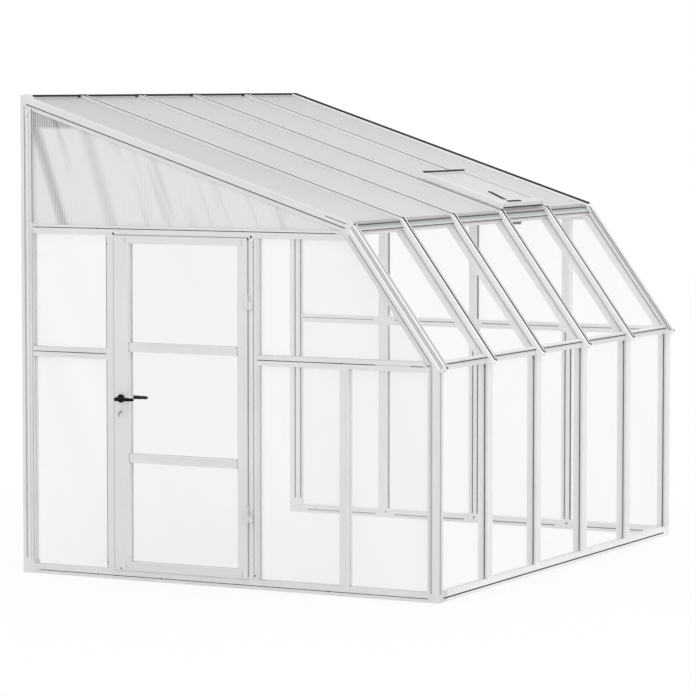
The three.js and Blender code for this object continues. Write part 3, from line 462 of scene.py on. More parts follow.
def gable_sheet(grey=0.84, between_hollows=0.35):
    """Milky twin-wall gable sheet: its colour is grey * (1 - shade * (band + between_hollows))."""
    tree, shader = new_material("gable_sheet", (grey, grey, grey), roughness=0.42)
    bands = effect(tree, "flutes", Axis=(0, 1, 0), Pitch=flute_pitch)
    patches = effect(tree, "streaks", Stretch=(0.6, 0.07, 0.9), Detail=2.0)
    contrast = ramp(tree, patches, [(0.55, 0.0), (0.75, 0.22)])
    darker = math_node(tree, "MAXIMUM", streak_shade(tree), corner_shade(tree))
    shade = math_node(tree, "ADD", darker, contrast)
    lined = math_node(tree, "MULTIPLY", shade, math_node(tree, "ADD", bands, between_hollows))
    kept = math_node(tree, "SUBTRACT", 1.0, lined)
    feed(tree, shader, Base_Color=math_node(tree, "MULTIPLY", kept, grey))
    feed(tree, shader, Alpha=ramp(tree, bands, [(0.0, 0.93), (1.0, 0.86)]))
    bump(tree, shader, bands, distance=0.0005, strength=0.25)


gable_sheet()
print("finishes so far:", len(materials))

# %% [markdown]
# The levers, the bow handle and the catch bar are moulded black plastic, nearly matt with a fine texture.
# The bolt and the lock are brushed steel. A picture of scratches could be wrapped round them, but noise
# that is squeezed into short brush marks needs no unwrapping and drives the roughness just as well.

# %% Black plastic and lock steel
def black_plastic():
    """Moulded black plastic with a fine matt texture."""
    black = (0.004, 0.004, 0.004)
    tree, shader = new_material("black_plastic", black, roughness=0.5, Specular_IOR_Level=0.15)
    feed(tree, shader, Roughness=effect(tree, "clouding", Scale=700.0, Detail=2.0, Low=0.45, High=0.65))
    bump(tree, shader, effect(tree, "grain", Scale=700.0, Detail=2.0), distance=0.0002, strength=0.3)


def lock_steel():
    """Brushed steel: the noise is squeezed 400 times down and out, and 30 times across."""
    tree, shader = new_material("lock_steel", (0.55, 0.56, 0.57), roughness=0.3, Metallic=1.0)
    squeeze = (30, 400, 400)
    stretched = feed(tree, add(tree, "ShaderNodeMapping", Scale=squeeze), Vector=place_of(tree))
    brush = feed(tree, add(tree, "ShaderNodeTexNoise", Scale=6.0), Vector=stretched.outputs["Vector"])
    feed(tree, shader, Roughness=ramp(tree, brush.outputs["Fac"], [(0.3, 0.22), (0.7, 0.4)]))


black_plastic()
lock_steel()
print("finishes so far:", len(materials))

# %% [markdown]
# Gaskets and seals are black rubber, but most are thinner than the picture's own grain and read as greys.
# So rubber comes in several greys, dusty and matt, and smooth vinyl trim comes in whites and greys of its
# own. Some of the same greys also serve as painted shadow and painted shade, in gaps and on edges that
# turn away, and the brightest white is a painted highlight.

# %% Rubber and smooth vinyl
def rubber(name, grey):
    """Matt rubber of one grey under uneven dust."""
    tree, shader = new_material(name, (grey, grey, grey), roughness=0.7)
    feed(tree, shader, Base_Color=effect(tree, "clouding", Scale=60.0, Low=grey * 0.8, High=grey * 1.25))


def soft_white(name, grey, roughness):
    """Smooth vinyl of one grey with faint clouding."""
    tree, shader = new_material(name, (grey, grey, grey), roughness)
    feed(tree, shader, Base_Color=effect(tree, "clouding", Low=grey * 0.96, High=grey * 1.03))


# These greys are also painted shadow in gaps and grooves; header_shade is painted shadow under the sheets'
# cut ends.
rubber_greys = {"dark_rubber_and_shadow": 0.012, "seal_grey": 0.03, "header_shade": 0.07, "grey_rubber_and_shade": 0.13}
for name, grey in rubber_greys.items():
    rubber(name, grey)
# The first of these greys is also a painted shade on the near end bar's cover.
satin_greys = {"cover_and_shade_grey": 0.66, "vent_bar": 0.69, "post_grey": 0.76}
for name, grey in satin_greys.items():
    soft_white(name, grey, roughness=0.45)
# A white brighter than the bars' vinyl, laid as painted highlights and painted light where light falls.
soft_white("painted_highlight", 0.92, roughness=0.35)
# A lighter white than the bars' vinyl for the front posts' faces: painted light.
soft_white("post_face_light", 0.84, roughness=0.4)
soft_white("pale_line", 0.4, roughness=0.5)
soft_white("end_strip", 0.42, roughness=0.5)
print("finishes so far:", len(materials))

# %% [markdown]
# The knee header is a hollow bar under the sheets' cut ends. Its face lies in the sheets' shade at the
# top and catches the floor's light at its foot. Soft studio light alone would darken it too little, so
# its colour is a mix of two greys that follows the height.

# %% Header face
def header_face():
    """The knee header's hollow face: painted shade, dark grey-green at its top, and painted light, pale at
    its foot.
    """
    top_grey, foot_pale = (0.21, 0.24, 0.23, 1), (0.67, 0.7, 0.69, 1)
    top_drop, foot_drop = 0.0155, 0.047
    tree, shader = new_material("header_face", (0.6, 0.62, 0.61), roughness=0.3)
    drop = effect(tree, "place", Start=KNEE[1] - top_drop, End=KNEE[1] - foot_drop)
    tint = add(tree, "ShaderNodeMix", data_type="RGBA")
    tint.inputs["A"].default_value = top_grey
    tint.inputs["B"].default_value = foot_pale
    feed(tree, tint, Factor=drop)
    feed(tree, shader, Base_Color=tint.outputs["Result"])


header_face()
print("finishes:", ", ".join(sorted(materials)))

# %% [markdown]
# Every solid part gets the finish that its name calls for. Each could be set by hand, but a rule on names
# also covers the parts that repeat. The bars, the levers and the lock also get a small bevel, because a
# real edge is never perfectly sharp and its roundness is what catches the light.

# %% Give every solid part its finish
inner_names = ("inner_rib", "far_gable", "end_rib_far", "gable_rail_far", "rear_post_far")
inner_names += ("base_rail_far", "base_rail_front")
edged = ("white_bar", "painted_light_bar", "black_plastic", "lock_steel")
edge_round = 0.0012
sharp_edge = math.radians(35)


def finish_of(name):
    """The finish of a solid part, from its name."""
    if name == "vent_lid_sheet":
        return "lid_sheet"
    if name in ("vent_lid_frame", "vent_kerb"):
        return "vent_bar"
    if "gable_sheet" in name:
        return "gable_sheet"
    if "sheet" in name:
        return "near_sheet_painted_shade" if name == "roof_sheet_1" else "roof_sheet"
    if name.startswith("door_pane"):
        return "door_clear"
    if "pane" in name:
        return "front_clear" if name.startswith(("slant", "front", "far")) else "gable_clear"
    if name in ("outer_lever", "inner_lever", "vent_bow_handle", "vent_catch_bar"):
        return "black_plastic"
    if name in ("latch_bolt", "lock_plug_key"):
        return "lock_steel"
    return "painted_light_bar" if name.startswith(inner_names) else "white_bar"


for name, node in nodes.items():
    finish = finish_of(name)
    node.data.materials.clear()
    node.data.materials.append(materials[finish])
    if finish in edged:
        bevel = node.modifiers.new("soft_edges", "BEVEL")
        bevel.width = edge_round
        bevel.segments = 2
        bevel.limit_method = "ANGLE"
        bevel.angle_limit = sharp_edge
        bevel.use_clamp_overlap = True
print("finished", len(nodes), "parts")

# %% [markdown]
# ## Thin pieces: seals, beads and strips
#
# Most of what the eye reads on white bars is thin: the dark seal between pane and bar, the end strip on a
# sheet, the bead round a pane. All are one idea, a small profile carried along a path. They could be
# curves with a bevel, but a surface computed directly keeps exact mitres at the corners, so each is an
# array of points: for point i of the path and point j of the profile (u, v), the surface point is path[i]
# + u * sideways + v * mitre[i]. The mitre is the sum of the two neighbouring normals, divided by one plus
# their dot product, so the strip keeps its width in a corner.

# %% Carry a profile along a path
def tube_faces(rows, around, closed=False):
    """Quads between neighbouring rows of points, and a lid for each end, or none if the tube is closed."""
    steps = rows if closed else rows - 1
    i, j = np.meshgrid(np.arange(steps), np.arange(around), indexing="ij")
    i_next, j_next = (i + 1) % rows, (j + 1) % around
    corners = [i * around + j, i * around + j_next, i_next * around + j_next, i_next * around + j]
    quads = np.stack(corners, axis=-1).reshape(-1, 4)
    first_row = np.arange(around)
    lids = np.stack([first_row, (rows - 1) * around + first_row[::-1]])
    return quads, lids[:0] if closed else lids


def swept(path, sideways, profile, closed=False):
    """Carry a profile of (u, v) along a path: each point is path + u * sideways + v * mitre."""
    path = np.asarray(path, float)
    profile = np.asarray(profile, float)
    sideways = np.asarray(sideways, float)
    runs = np.roll(path, -1, axis=0) - path
    runs /= np.linalg.norm(runs, axis=1, keepdims=True)
    if not closed:
        runs[-1] = runs[-2]
    before = np.roll(runs, 1, axis=0)
    if not closed:
        before[0] = runs[0]
    normal_before = np.cross(before, sideways)
    normal_after = np.cross(runs, sideways)
    share = 1 + np.sum(normal_before * normal_after, axis=1, keepdims=True)
    mitre = (normal_before + normal_after) / share
    grid = path[:, None] + profile[None, :, :1] * sideways + profile[None, :, 1:] * mitre[:, None]
    quads, lids = tube_faces(*grid.shape[:2], closed)
    return grid.reshape(-1, 3), quads, lids


trial = swept([(0, 0, 0), (0, 1, 0)], ACROSS, [(0, 0), (1, 0), (1, 1), (0, 1)])
print("a square carried along a line:", *map(len, trial), "points, quads and lids")

# %% [markdown]
# Nearly every strip is flat with softened edges. Its back is sunk a little into the bar, so no gap shows,
# and its face stands a little proud. Three profiles cover them: any flat bar, one centred on its line,
# and one for faces that look the way the door looks, where standing proud means sideways. An ellipse is
# added for round rubber.

# %% Profiles of strips
def bar(u_from, u_to, v_from, v_to, soft=0.25):
    """A flat strip between two u and two v, its outer corners cut off by a share of its smaller side."""
    cut = soft * min(u_to - u_from, v_to - v_from)
    return [
        (u_from, v_from),
        (u_to, v_from),
        (u_to, v_to - cut),
        (u_to - cut, v_to),
        (u_from + cut, v_to),
        (u_from, v_to - cut),
    ]


def flat(wide, proud, sunk=0.001):
    """A strip centred on its line: u from minus half to plus half its width, v from sunk up to proud."""
    return bar(-wide / 2, wide / 2, -sunk, proud)


def on_side(tall, proud, sunk=0.001):
    """The same turned sideways, for a face that looks the way the door looks: u carries its thickness."""
    return bar(-proud, sunk, -tall / 2, tall / 2)


def ellipse(half_wide, half_tall, around):
    """Points of an ellipse: (half_wide * cos(a), half_tall * sin(a)) for a round a full turn."""
    turn = np.linspace(0, 2 * math.pi, around, endpoint=False)
    return np.stack([half_wide * np.cos(turn), half_tall * np.sin(turn)], axis=1)


print("a flat strip's profile has", len(flat(0.01, 0.001)), "points")

# %% [markdown]
# Strips of one kind and one finish could each be an object, but they are joined into one named piece, as
# a maker would cut them from one coil. A piece rides on the body that really carries it, so it moves when
# that body does. The faces are turned outwards once the whole piece is together.

# %% Join strips into a piece
def piece(name, surfaces, material, body="house"):
    """Join the surfaces into one mesh, turn all faces outwards, and let it ride on a body."""
    vertices, faces, start = [], [], 0
    for points, quads, lids in surfaces:
        vertices.append(points)
        faces += (quads + start).tolist() + (lids + start).tolist()
        start += len(points)
    mesh = bpy.data.meshes.new(name)
    mesh.from_pydata(np.concatenate(vertices).tolist(), [], faces)
    shape = bmesh.new()
    shape.from_mesh(mesh)
    bmesh.ops.recalc_face_normals(shape, faces=shape.faces)
    shape.to_mesh(mesh)
    shape.free()
    made = bpy.data.objects.new(name, mesh)
    bpy.context.collection.objects.link(made)
    mesh.materials.append(materials[material])
    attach(made, body)
    print(name, len(mesh.polygons), "faces,", len(surfaces), "strips")


def down_bars(places, path, profile):
    """One strip at each distance across: the (out, up) path moved there, with u running across."""
    return [swept(in_gable(x, path), ACROSS, profile) for x in places]


def line_on(start, end, normal, profile):
    """A straight strip on a face: v along the face's normal, u along the normal crossed with the run."""
    run = (end - start) / np.linalg.norm(end - start)
    return swept([start, end], np.cross(normal, run), profile)


def up_front(places, out, ups, profile):
    """One upright strip at each distance across, on a face that looks to the front."""
    return [line_on(spot(x, out, ups[0]), spot(x, out, ups[1]), OUTWARDS, profile) for x in places]


print("inner bars stand at", [round(float(x), 3) for x in rib_places])

# %% [markdown]
# ## Roof bars
#
# Each roof bar shows a dark seal along its middle and, beyond it, a painted highlight where its far edge
# catches the light. They could be drawn as stripes in the bars' material, but strips with a real
# thickness stay sharp from every side. A cover strip in the sheets' own grey lies on the near half, so
# from below the eye sees one thin dark line and one thin bright one.

# %% Covers, seals and painted highlights along the roof bars
roof_top_along = 0.02
roof_line_foot = knee_along - 0.006
roof_line_path = [on_roof(roof_top_along), on_roof(roof_line_foot)]
seal_from, seal_to = -0.001, 0.0215
highlight_to = cap_half + 0.009
cover = bar(-cap_half, seal_from, v_from=-0.0008, v_to=0.0012)
seal = bar(seal_from, seal_to, v_from=-0.0008, v_to=0.0014)
# The strip beyond each seal is a painted highlight of the bar's lit far edge.
bar_edge_highlight = bar(seal_to, highlight_to, v_from=-0.009, v_to=0.002)
piece("roof_bar_covers", down_bars(rib_places, roof_line_path, cover), "cover_and_shade_grey")
piece("roof_bar_seals", down_bars(rib_places, roof_line_path, seal), "dark_rubber_and_shadow")
piece("roof_bar_highlights", down_bars(rib_places, roof_line_path, bar_edge_highlight), "painted_highlight")

# %% [markdown]
# The rakes are the roof's two sloping ends. The far one ends in a black seal that shows as the roof's
# sharp upper edge. The near one wears a cover whose shoulder rounds over from the gable's face to the
# roof. A bevel can't make that lopsided curve, so its profile is given point by point. A thin seam shows
# on its face, where its cover meets its body.

# %% Rake seals, rake cover and rake seam
rake_foot = knee_along - 0.01
rake_path = [on_roof(roof_top_along), on_roof(rake_foot)]
far_rake_across = house_long - 0.012
rake_seal = flat(wide=0.024, proud=0.0088, sunk=0.0008)
piece("far_rake_seal", down_bars([far_rake_across], rake_path, rake_seal), "dark_rubber_and_shadow")
shoulder = [(-0.0004, -0.0108), (0.0018, -0.0078), (0.0058, -0.0031), (0.0118, 0.0001), (0.05, 0.0007)]
underside = [(0.05, -0.0008), (0.0125, -0.0014), (0.0068, -0.0045), (0.0028, -0.0092), (0.001, -0.0108)]
piece("near_rake_cover", down_bars([0], rake_path, shoulder + underside), "cover_and_shade_grey")
seam_drop, end_seam_drop = 0.0365, 0.0125
seam_head, end_seam_head, seam_foot = 0.05, knee_along - 0.155, knee_along - 0.02
seam_path = [on_roof(seam_head, -seam_drop), on_roof(seam_foot, -seam_drop)]
end_seam_path = [on_roof(end_seam_head, -end_seam_drop), on_roof(seam_foot, -end_seam_drop)]
seams = down_bars([0], seam_path, on_side(tall=0.0044, proud=0.0008))
seams += down_bars([0], end_seam_path, on_side(tall=0.0032, proud=0.0008))
piece("near_rake_seam", seams, "seal_grey")

# %% [markdown]
# Along the ridge a dark seal closes the sheets against the wall rail. Where a roof bar meets it the seal
# is pressed wider, so each crossing shows as a small dark bar. One strip of changing width could show
# that, but a wider strip laid over each crossing is simpler and looks the same.

# %% Ridge seal
ridge_seal_out = 0.0145
seal_up, crossing_up = ridge_up - 0.005, ridge_up - 0.0075
seal_start, before_bar, past_bar = 0.052, 0.06, 0.035


def along_ridge(start, end, up, profile):
    """A strip that lies on the ridge between two distances across."""
    return swept([spot(start, ridge_seal_out, up), spot(end, ridge_seal_out, up)], UPWARDS, profile)


ridge_strip = flat(wide=0.012, proud=0.0012, sunk=0.0008)
crossing = flat(wide=0.019, proud=0.0016, sunk=0.0008)
ridge_strips = [along_ridge(seal_start, house_long, seal_up, ridge_strip)]
ridge_strips += [along_ridge(x - before_bar, x + past_bar, crossing_up, crossing) for x in rib_places]
piece("ridge_seal", ridge_strips, "dark_rubber_and_shadow")

# %% [markdown]
# ## Slanted bars
#
# A dark insert fills the groove along the middle of each slanted bar. The groove could be cut and left to
# its own shadow, but it is only 20 mm wide, and a flat insert stays evenly dark under any light. A soft
# grey gasket lies in the corner between the bar's near side and the pane.

# %% Inserts and gaskets of the slanted bars
insert_end, gasket_end, pane_inset = 0.012, 0.05, 0.03
slant_path = [on_slant(insert_end), on_slant(tip_length - insert_end)]
insert = flat(wide=0.019, proud=0.0008, sunk=0.002)
piece("slant_inserts", down_bars(rib_places, slant_path, insert), "dark_rubber_and_shadow")
gasket_path = [on_slant(gasket_end, -pane_inset), on_slant(tip_length - gasket_end, -pane_inset)]
gasket_off, far_gasket_across = cap_half + 0.003, house_long - 0.053
near_sides = [x - gasket_off for x in rib_places] + [far_gasket_across]
piece("slant_gaskets", down_bars(near_sides, gasket_path, flat(wide=0.006, proud=0.002)), "pale_line")

# %% [markdown]
# ## Knee
#
# Below the sheets' cut ends runs the knee header. The sheets wear pale end strips, a dark strip of
# painted shadow fills the gap under them, and the header's hollow face darkens towards its top with
# painted shade. Its underside catches the light, shown by a painted highlight, and a second seal holds
# the slanted panes' upper edges. In the vent's bay the sheet ends above the lid, so that bay has no end
# strip. All of these lie across a bay, so one helper lays a strip across each bay at a given place and tilt.

# %% Sheet end strips, painted shadow, header face and header seals
bar_clear, first_bay_start, last_bay_end = 0.032, 0.018, house_long - 0.05
bays = [(x + bar_clear, x + bay_width - bar_clear) for x in [first_bay_start] + rib_places]
bays[-1] = (bays[-1][0], last_bay_end)
vent_bay = 3
open_bays = [bay for k, bay in enumerate(bays) if k != vent_bay]
header_inset = 0.0188


def across_strip(bay, place, profile, normal):
    """A strip across one bay at an (out, up) place: v lifts it along the normal, u runs down the slope."""
    ends = [spot(bay[0], *place), spot(bay[1], *place)]
    return swept(ends, np.cross(facing(normal), ACROSS), profile)


def across_bays(places, place, profile, normal=OUT_OF_SLANT):
    """The same strip across each of these bays."""
    return [across_strip(bay, place, profile, normal) for bay in places]


strip_place = on_roof(knee_along - 0.024, -0.01)
end_strips = across_bays(open_bays, strip_place, flat(wide=0.024, proud=0.002), OUT_OF_ROOF)
piece("sheet_end_strips", end_strips, "end_strip")
# A dark strip of painted shadow in the gap under the sheets' cut ends.
end_shadow_place = on_slant(0.0055, -0.0185)
piece("sheet_end_shadows", across_bays(bays, end_shadow_place, flat(wide=0.006, proud=0.002)), "header_shade")
face_place = on_slant(0.0245, -header_inset)
header_face_strip = flat(wide=0.033, proud=0.0006, sunk=0.0005)
piece("header_faces", across_bays(bays, face_place, header_face_strip), "header_face")
# A painted highlight on the header's underside, where the light falls.
under_place = on_slant(0.045, -0.0445)
under_lights = across_bays(bays, under_place, flat(wide=0.018, proud=0.0004), ALONG_SLANT)
piece("header_under_lights", under_lights, "painted_highlight")
pane_seal_place = on_slant(0.0432, -header_inset)
piece("header_seals", across_bays(bays, pane_seal_place, flat(wide=0.0052, proud=0.0008)), "dark_rubber_and_shadow")

# %% [markdown]
# The two end bars are rounded covers over a straight body. The near one shows a grey seam where it meets
# its body, and the far one a seam on its flank and a dark groove beside its rounded edge. Each is a strip
# barely proud of its face, because a cut seam would need the solid itself to change.

# %% Seams and groove of the end bars
near_seam_drop, flank_seam_drop = 0.047, 0.008
slant_seam_head, near_seam_foot, cover_foot = 0.05, 0.88, 0.93
near_seam_path = [on_slant(distance, -near_seam_drop) for distance in (slant_seam_head, near_seam_foot)]
flank_seam_path = [on_slant(distance, -flank_seam_drop) for distance in (slant_seam_head, cover_foot)]
far_flank, far_groove_across = house_long - 0.0505, house_long - 0.043
seam = on_side(tall=0.004, proud=0.0006)
end_seams = down_bars([0], near_seam_path, seam) + down_bars([far_flank], flank_seam_path, seam)
piece("end_bar_seams", end_seams, "grey_rubber_and_shade")
groove = flat(wide=0.012, proud=0.001)
piece("far_bar_groove", down_bars([far_groove_across], slant_path, groove), "dark_rubber_and_shadow")

# %% [markdown]
# A rounded cover shows its curve by soft stripes: grey lines of painted shade where it turns away,
# bright painted highlights where it faces the light, and a broad painted shade near its lower edge. These
# stripes are thin strips too, because the curve itself is finer than the solid's facets. A lip laps the
# pane beyond it.

# %% Lines, lights and lip of the near end bar
cover_head, shade_head, lip_head = 0.02, 0.06, 0.01
turn_across, light_across, fall_across, lip_across = 0.0025, 0.025, 0.0445, 0.0605
far_line_across = house_long - 0.0115
turn_shade_drop, light_drop, shade_drop = 0.012, 0.0225, 0.061


def cover_path(drop=0.0):
    """A line along the near end bar's cover."""
    return [on_slant(distance, -drop) for distance in (cover_head, cover_foot)]


turned_edge = bar(-0.002, 0.004, v_from=-0.001, v_to=0.0004)
# Grey lines of painted shade where the rounded covers turn away.
turn_shades = down_bars([0], cover_path(turn_shade_drop), on_side(tall=0.004, proud=0.0004))
turn_shades += down_bars([turn_across], cover_path(), turned_edge)
turn_shades += down_bars([fall_across], cover_path(), flat(wide=0.012, proud=0.0006))
turn_shades += down_bars([far_line_across], slant_path, flat(wide=0.003, proud=0.001))
piece("end_bar_turn_shades", turn_shades, "pale_line")
# A broad painted shade near the cover's lower edge.
shade_path = [on_slant(distance, -shade_drop) for distance in (shade_head, near_seam_foot)]
piece("end_bar_shade", down_bars([0], shade_path, on_side(tall=0.021, proud=0.0004)), "cover_and_shade_grey")
# Painted highlights where the cover faces the light.
lights = down_bars([0], cover_path(light_drop), on_side(tall=0.009, proud=0.0006))
lights += down_bars([light_across], cover_path(), flat(wide=0.013, proud=0.0004))
piece("end_bar_lights", lights, "painted_highlight")
lip_path = [on_slant(lip_head), on_slant(cover_foot)]
lip = bar(-0.0095, 0.008, v_from=-0.006, v_to=0.0)
piece("end_bar_lip", down_bars([lip_across], lip_path, lip), "cover_and_shade_grey")

# %% [markdown]
# Beside its dark insert each slanted bar's cap is two flat lands that face the light, and a thin grey
# line of painted shade marks its rounded far edge. The lands could share the bar's own finish, but the
# photograph shows them brighter than the bar's sides, so they wear the painted highlight's white.

# %% Painted highlights on the lands, and painted shade on the edges of the slanted bars
# The lands wear a painted highlight.
near_land, far_land = (-0.026, -0.0096), (0.0096, 0.022)
lands = [bar(*land, v_from=-0.001, v_to=0.0005) for land in (near_land, far_land)]
cap_lights = [swept(in_gable(x, slant_path), ACROSS, land) for x in rib_places for land in lands]
piece("slant_cap_lights", cap_lights, "painted_highlight")
# A grey line of painted shade along each bar's rounded far edge.
far_edge_off = 0.0255
far_edges = [x + far_edge_off for x in rib_places]
piece("slant_edge_shades", down_bars(far_edges, slant_path, flat(wide=0.0044, proud=0.0006)), "grey_rubber_and_shade")

# %% [markdown]
# ## Front posts and eave
#
# Down the near side of each front post runs a grey gasket that holds the pane. The post's side catches
# bright light beside it, painted as a bright strip, and its front face is painted a lighter white as
# painted light. A face could be split and given two finishes, but the solid parts stay whole, so each
# tone lies on the post as a thin strip.

# %% Gaskets, painted side lights and faces of the front posts
pane_face_out = front_out - 0.022
side_light_out = front_out - 0.0105
post_foot, post_head = 0.056, 1.226
post_ups, side_light_head = (post_foot, post_head), post_head - 0.01
far_post_side, far_post_middle = house_long - 0.05, house_long - 0.024
post_gasket_gap = 0.004
post_sides = [x - cap_half for x in rib_places] + [far_post_side]
gasket_places = [side - post_gasket_gap for side in post_sides]
gasket = flat(wide=0.006, proud=0.003)
piece("post_gaskets", up_front(gasket_places, pane_face_out, post_ups, gasket), "grey_rubber_and_shade")
# A bright strip of painted light on each post's side.
side_light = flat(wide=0.015, proud=0.0006)
side_lights = [
    line_on(spot(side, side_light_out, post_foot), spot(side, side_light_out, side_light_head), -ACROSS, side_light)
    for side in post_sides
]
piece("post_side_lights", side_lights, "painted_highlight")
# The front faces of the posts are painted lighter: painted light.
post_face_light = bar(-0.021, 0.022, v_from=-0.001, v_to=0.0004)
post_middles = rib_places + [far_post_middle]
piece("front_post_faces", up_front(post_middles, front_out, post_ups, post_face_light), "post_face_light")

# %% [markdown]
# The near corner post is grooved along its gable side. Two greyish lands with a darker groove between
# them show there, and a soft grey line runs up its front. They differ only in place, width and finish, so
# a small table and one loop make them.

# %% Lands and lines of the near corner post
corner_ups = (0.045, 1.262)
corner_strips = {
    "near_post_face": (2.5615, 2.5975, "post_grey"),
    "near_post_groove": (2.5535, 2.5605, "pale_line"),
    "near_post_edge": (2.533, 2.543, "post_grey"),
}
for name, (out_from, out_to, material) in corner_strips.items():
    ends = [spot(0, (out_from + out_to) / 2, up) for up in corner_ups]
    piece(name, [line_on(*ends, -ACROSS, flat(wide=out_to - out_from, proud=0.0004))], material)
front_line_across = 0.018
front_line = up_front([front_line_across], front_out, corner_ups, flat(wide=0.01, proud=0.0004))
piece("near_post_front_line", front_line, "pale_line")

# %% [markdown]
# Across the eave a dark gap shows between the slanted panes' feet and the rail. The base rail's groove is
# black with shadow. Rendered light would soften both, so each gets a dark strip of painted shadow, and the
# base rail has one on each of the two sides that the eye sees.

# %% Painted shadows in the eave gap and the base groove
# Dark strips of painted shadow in the eave gap and, below, in the base rail's groove.
eave_place = on_slant(0.905, -0.018)
piece("eave_gap_shadows", across_bays(bays, eave_place, flat(wide=0.0038, proud=0.0012)), "dark_rubber_and_shadow")
base_groove_up = 0.0195
front_groove_ends = (0.06, house_long - 0.09)
gable_groove_ends = (0.11, front_out - 0.06)
front_groove = [spot(across, front_out, base_groove_up) for across in front_groove_ends]
gable_groove = [spot(0, out, base_groove_up) for out in gable_groove_ends]
base_groove_shadows = [
    line_on(*front_groove, OUTWARDS, flat(wide=0.008, proud=0.0006, sunk=0.003)),
    line_on(*gable_groove, -ACROSS, flat(wide=0.0044, proud=0.0006, sunk=0.003)),
]
piece("base_groove_shadows", base_groove_shadows, "dark_rubber_and_shadow")

# %% [markdown]
# ## Gable bars
#
# The gable's rails carry a thin groove along their faces, and each gets a dark insert. Panes get a soft
# grey line where they enter a bar, and the door's frame shows seams, darkest on the hinge side, where the
# hinge knuckles break them. All these lines are either level, at one height, or upright, at one distance
# out, so they are listed as such, and one helper turns a list into strips.

# %% Inserts and pane lines of the door gable
def level(up, start, end):
    """A line along the gable at one height, as its two (out, up) ends."""
    return (start, up), (end, up)


def upright(out, low, high):
    """A line up the gable at one distance out, as its two (out, up) ends."""
    return (out, low), (out, high)


def gable_lines(name, lines, wide, material, at_across=0.0, body="house"):
    """Thin strips on a face that looks the way the door looks."""
    profile = flat(wide, proud=0.0006)
    strips = [line_on(spot(at_across, *a), spot(at_across, *b), -ACROSS, profile) for a, b in lines]
    piece(name, strips, material, body)


rail_groove_up, mid_groove_up = 1.9445, 1.2515
line_foot, line_head = 0.06, 1.9
hinge_seam_out, hinge_line_out, jamb_line_out, wall_line_out = 1.4515, 1.4835, 0.555, 0.072
rail_lines = [
    level(rail_groove_up, 0.078, 1.985),
    level(mid_groove_up, 0.078, 0.548),
    level(mid_groove_up, 1.507, 2.223),
    level(mid_groove_up, 2.432, 2.506),
]
seam_lines = [
    upright(0.0245, 0.085, 2.62),
    upright(hinge_seam_out, 0.07, 0.362),
    upright(hinge_seam_out, 0.452, 1.520),
    upright(hinge_seam_out, 1.612, line_head),
    upright(wall_line_out, 1.97, 2.6),
    upright(jamb_line_out, line_foot, 1.215),
    upright(jamb_line_out, 1.285, line_head),
    upright(hinge_line_out, line_foot, line_head),
]
leaf_line_up, leaf_latch_out = 1.9125, 0.6061
faint_lines = [
    level(leaf_line_up, leaf_latch_out, hinge_seam_out),
    upright(wall_line_out, line_foot, 1.93),
    upright(0.6015, line_foot, line_head),
]
gable_lines("gable_inserts", rail_lines, wide=0.0042, material="seal_grey")
gable_lines("gable_edge_lines", seam_lines, wide=0.0032, material="grey_rubber_and_shade")
gable_lines("gable_pale_lines", faint_lines, wide=0.0036, material="pale_line")

# %% [markdown]
# Where a pane meets a bar, the bar's side makes a small reveal. In the photograph it is the whitest vinyl
# on the house, because light falls on it, so each side that the eye sees gets a thin liner of painted
# highlight on both faces of the pane. Beside the hinge jamb a wider glazing bead lies on the pane. It is a
# strip like the others, but as thick as a real bead.

# %% Painted highlights on the reveals, and glazing bead
low_panes, high_panes = (0.053, 1.221), (1.278, 1.909)


def reveal(out, ups, across):
    """A thin liner of painted highlight on the front-facing side of an upright, between two distances
    across.
    """
    liner = flat(wide=across[1] - across[0], proud=0.0005, sunk=0.0004)
    return up_front([(across[0] + across[1]) / 2], out, ups, liner)[0]


pane_sides = ((0.001, 0.0192), (0.0248, 0.0495))
wall_reveal_out, hinge_reveal_out, mullion_out = 0.074, 1.504, 2.06
tall_reveal_outs = (wall_reveal_out, hinge_reveal_out)
reveal_places = [(out, ups) for out in tall_reveal_outs for ups in (low_panes, high_panes)]
reveal_places.append((mullion_out, low_panes))
reveal_lights = [reveal(out, ups, across) for out, ups in reveal_places for across in pane_sides]
piece("gable_reveal_lights", reveal_lights, "painted_highlight")
bead_face, bead_out, bead_line_out = 0.004, 1.514, 1.521
glazing_bead = bar(-0.0095, 0.0095, v_from=-0.0155, v_to=0.0, soft=0.1)
glazing_beads = [
    line_on(spot(bead_face, bead_out, low), spot(bead_face, bead_out, high), -ACROSS, glazing_bead)
    for low, high in (low_panes, high_panes)
]
piece("hinge_jamb_bead", glazing_beads, "white_bar")
bead_lines = [upright(bead_line_out, *ups) for ups in (low_panes, high_panes)]
gable_lines("hinge_jamb_bead_lines", bead_lines, wide=0.004, material="pale_line", at_across=bead_face)

# %% [markdown]
# ## Door beads and joints
#
# Each door pane sits behind a mitred bead: a low round profile that closes on itself round the opening.
# Four straight pieces could be laid end to end, but a closed path gives true mitres at the corners. The
# bead rides on the door, so it swings with it.

# %% Door beads
window_outs = (0.7011, 1.3865)
window_ups = [(0.1031, 0.6551), (0.7031, 1.2701), (1.3181, 1.867)]
leaf_face = -0.006


def loop_round(outs, ups, profile):
    """A closed strip round a window: u runs across (outdoors is negative), and v into the opening."""
    corners = [(outs[0], ups[0]), (outs[1], ups[0]), (outs[1], ups[1]), (outs[0], ups[1])]
    return swept([spot(leaf_face, *corner) for corner in corners], ACROSS, profile, closed=True)


def round_bead(wide, tall, laps, points=7):
    """A half-round bead: u = -tall * sin(t), v = laps - wide / 2 * (1 + cos(t)), t from 0 to pi."""
    t = np.linspace(0, math.pi, points)
    return np.stack([-tall * np.sin(t), laps - wide / 2 * (1 + np.cos(t))], axis=1)


door_bead = round_bead(wide=0.01, tall=0.0015, laps=0.001)
piece("door_beads", [loop_round(window_outs, ups, door_bead) for ups in window_ups], "post_grey", "door")
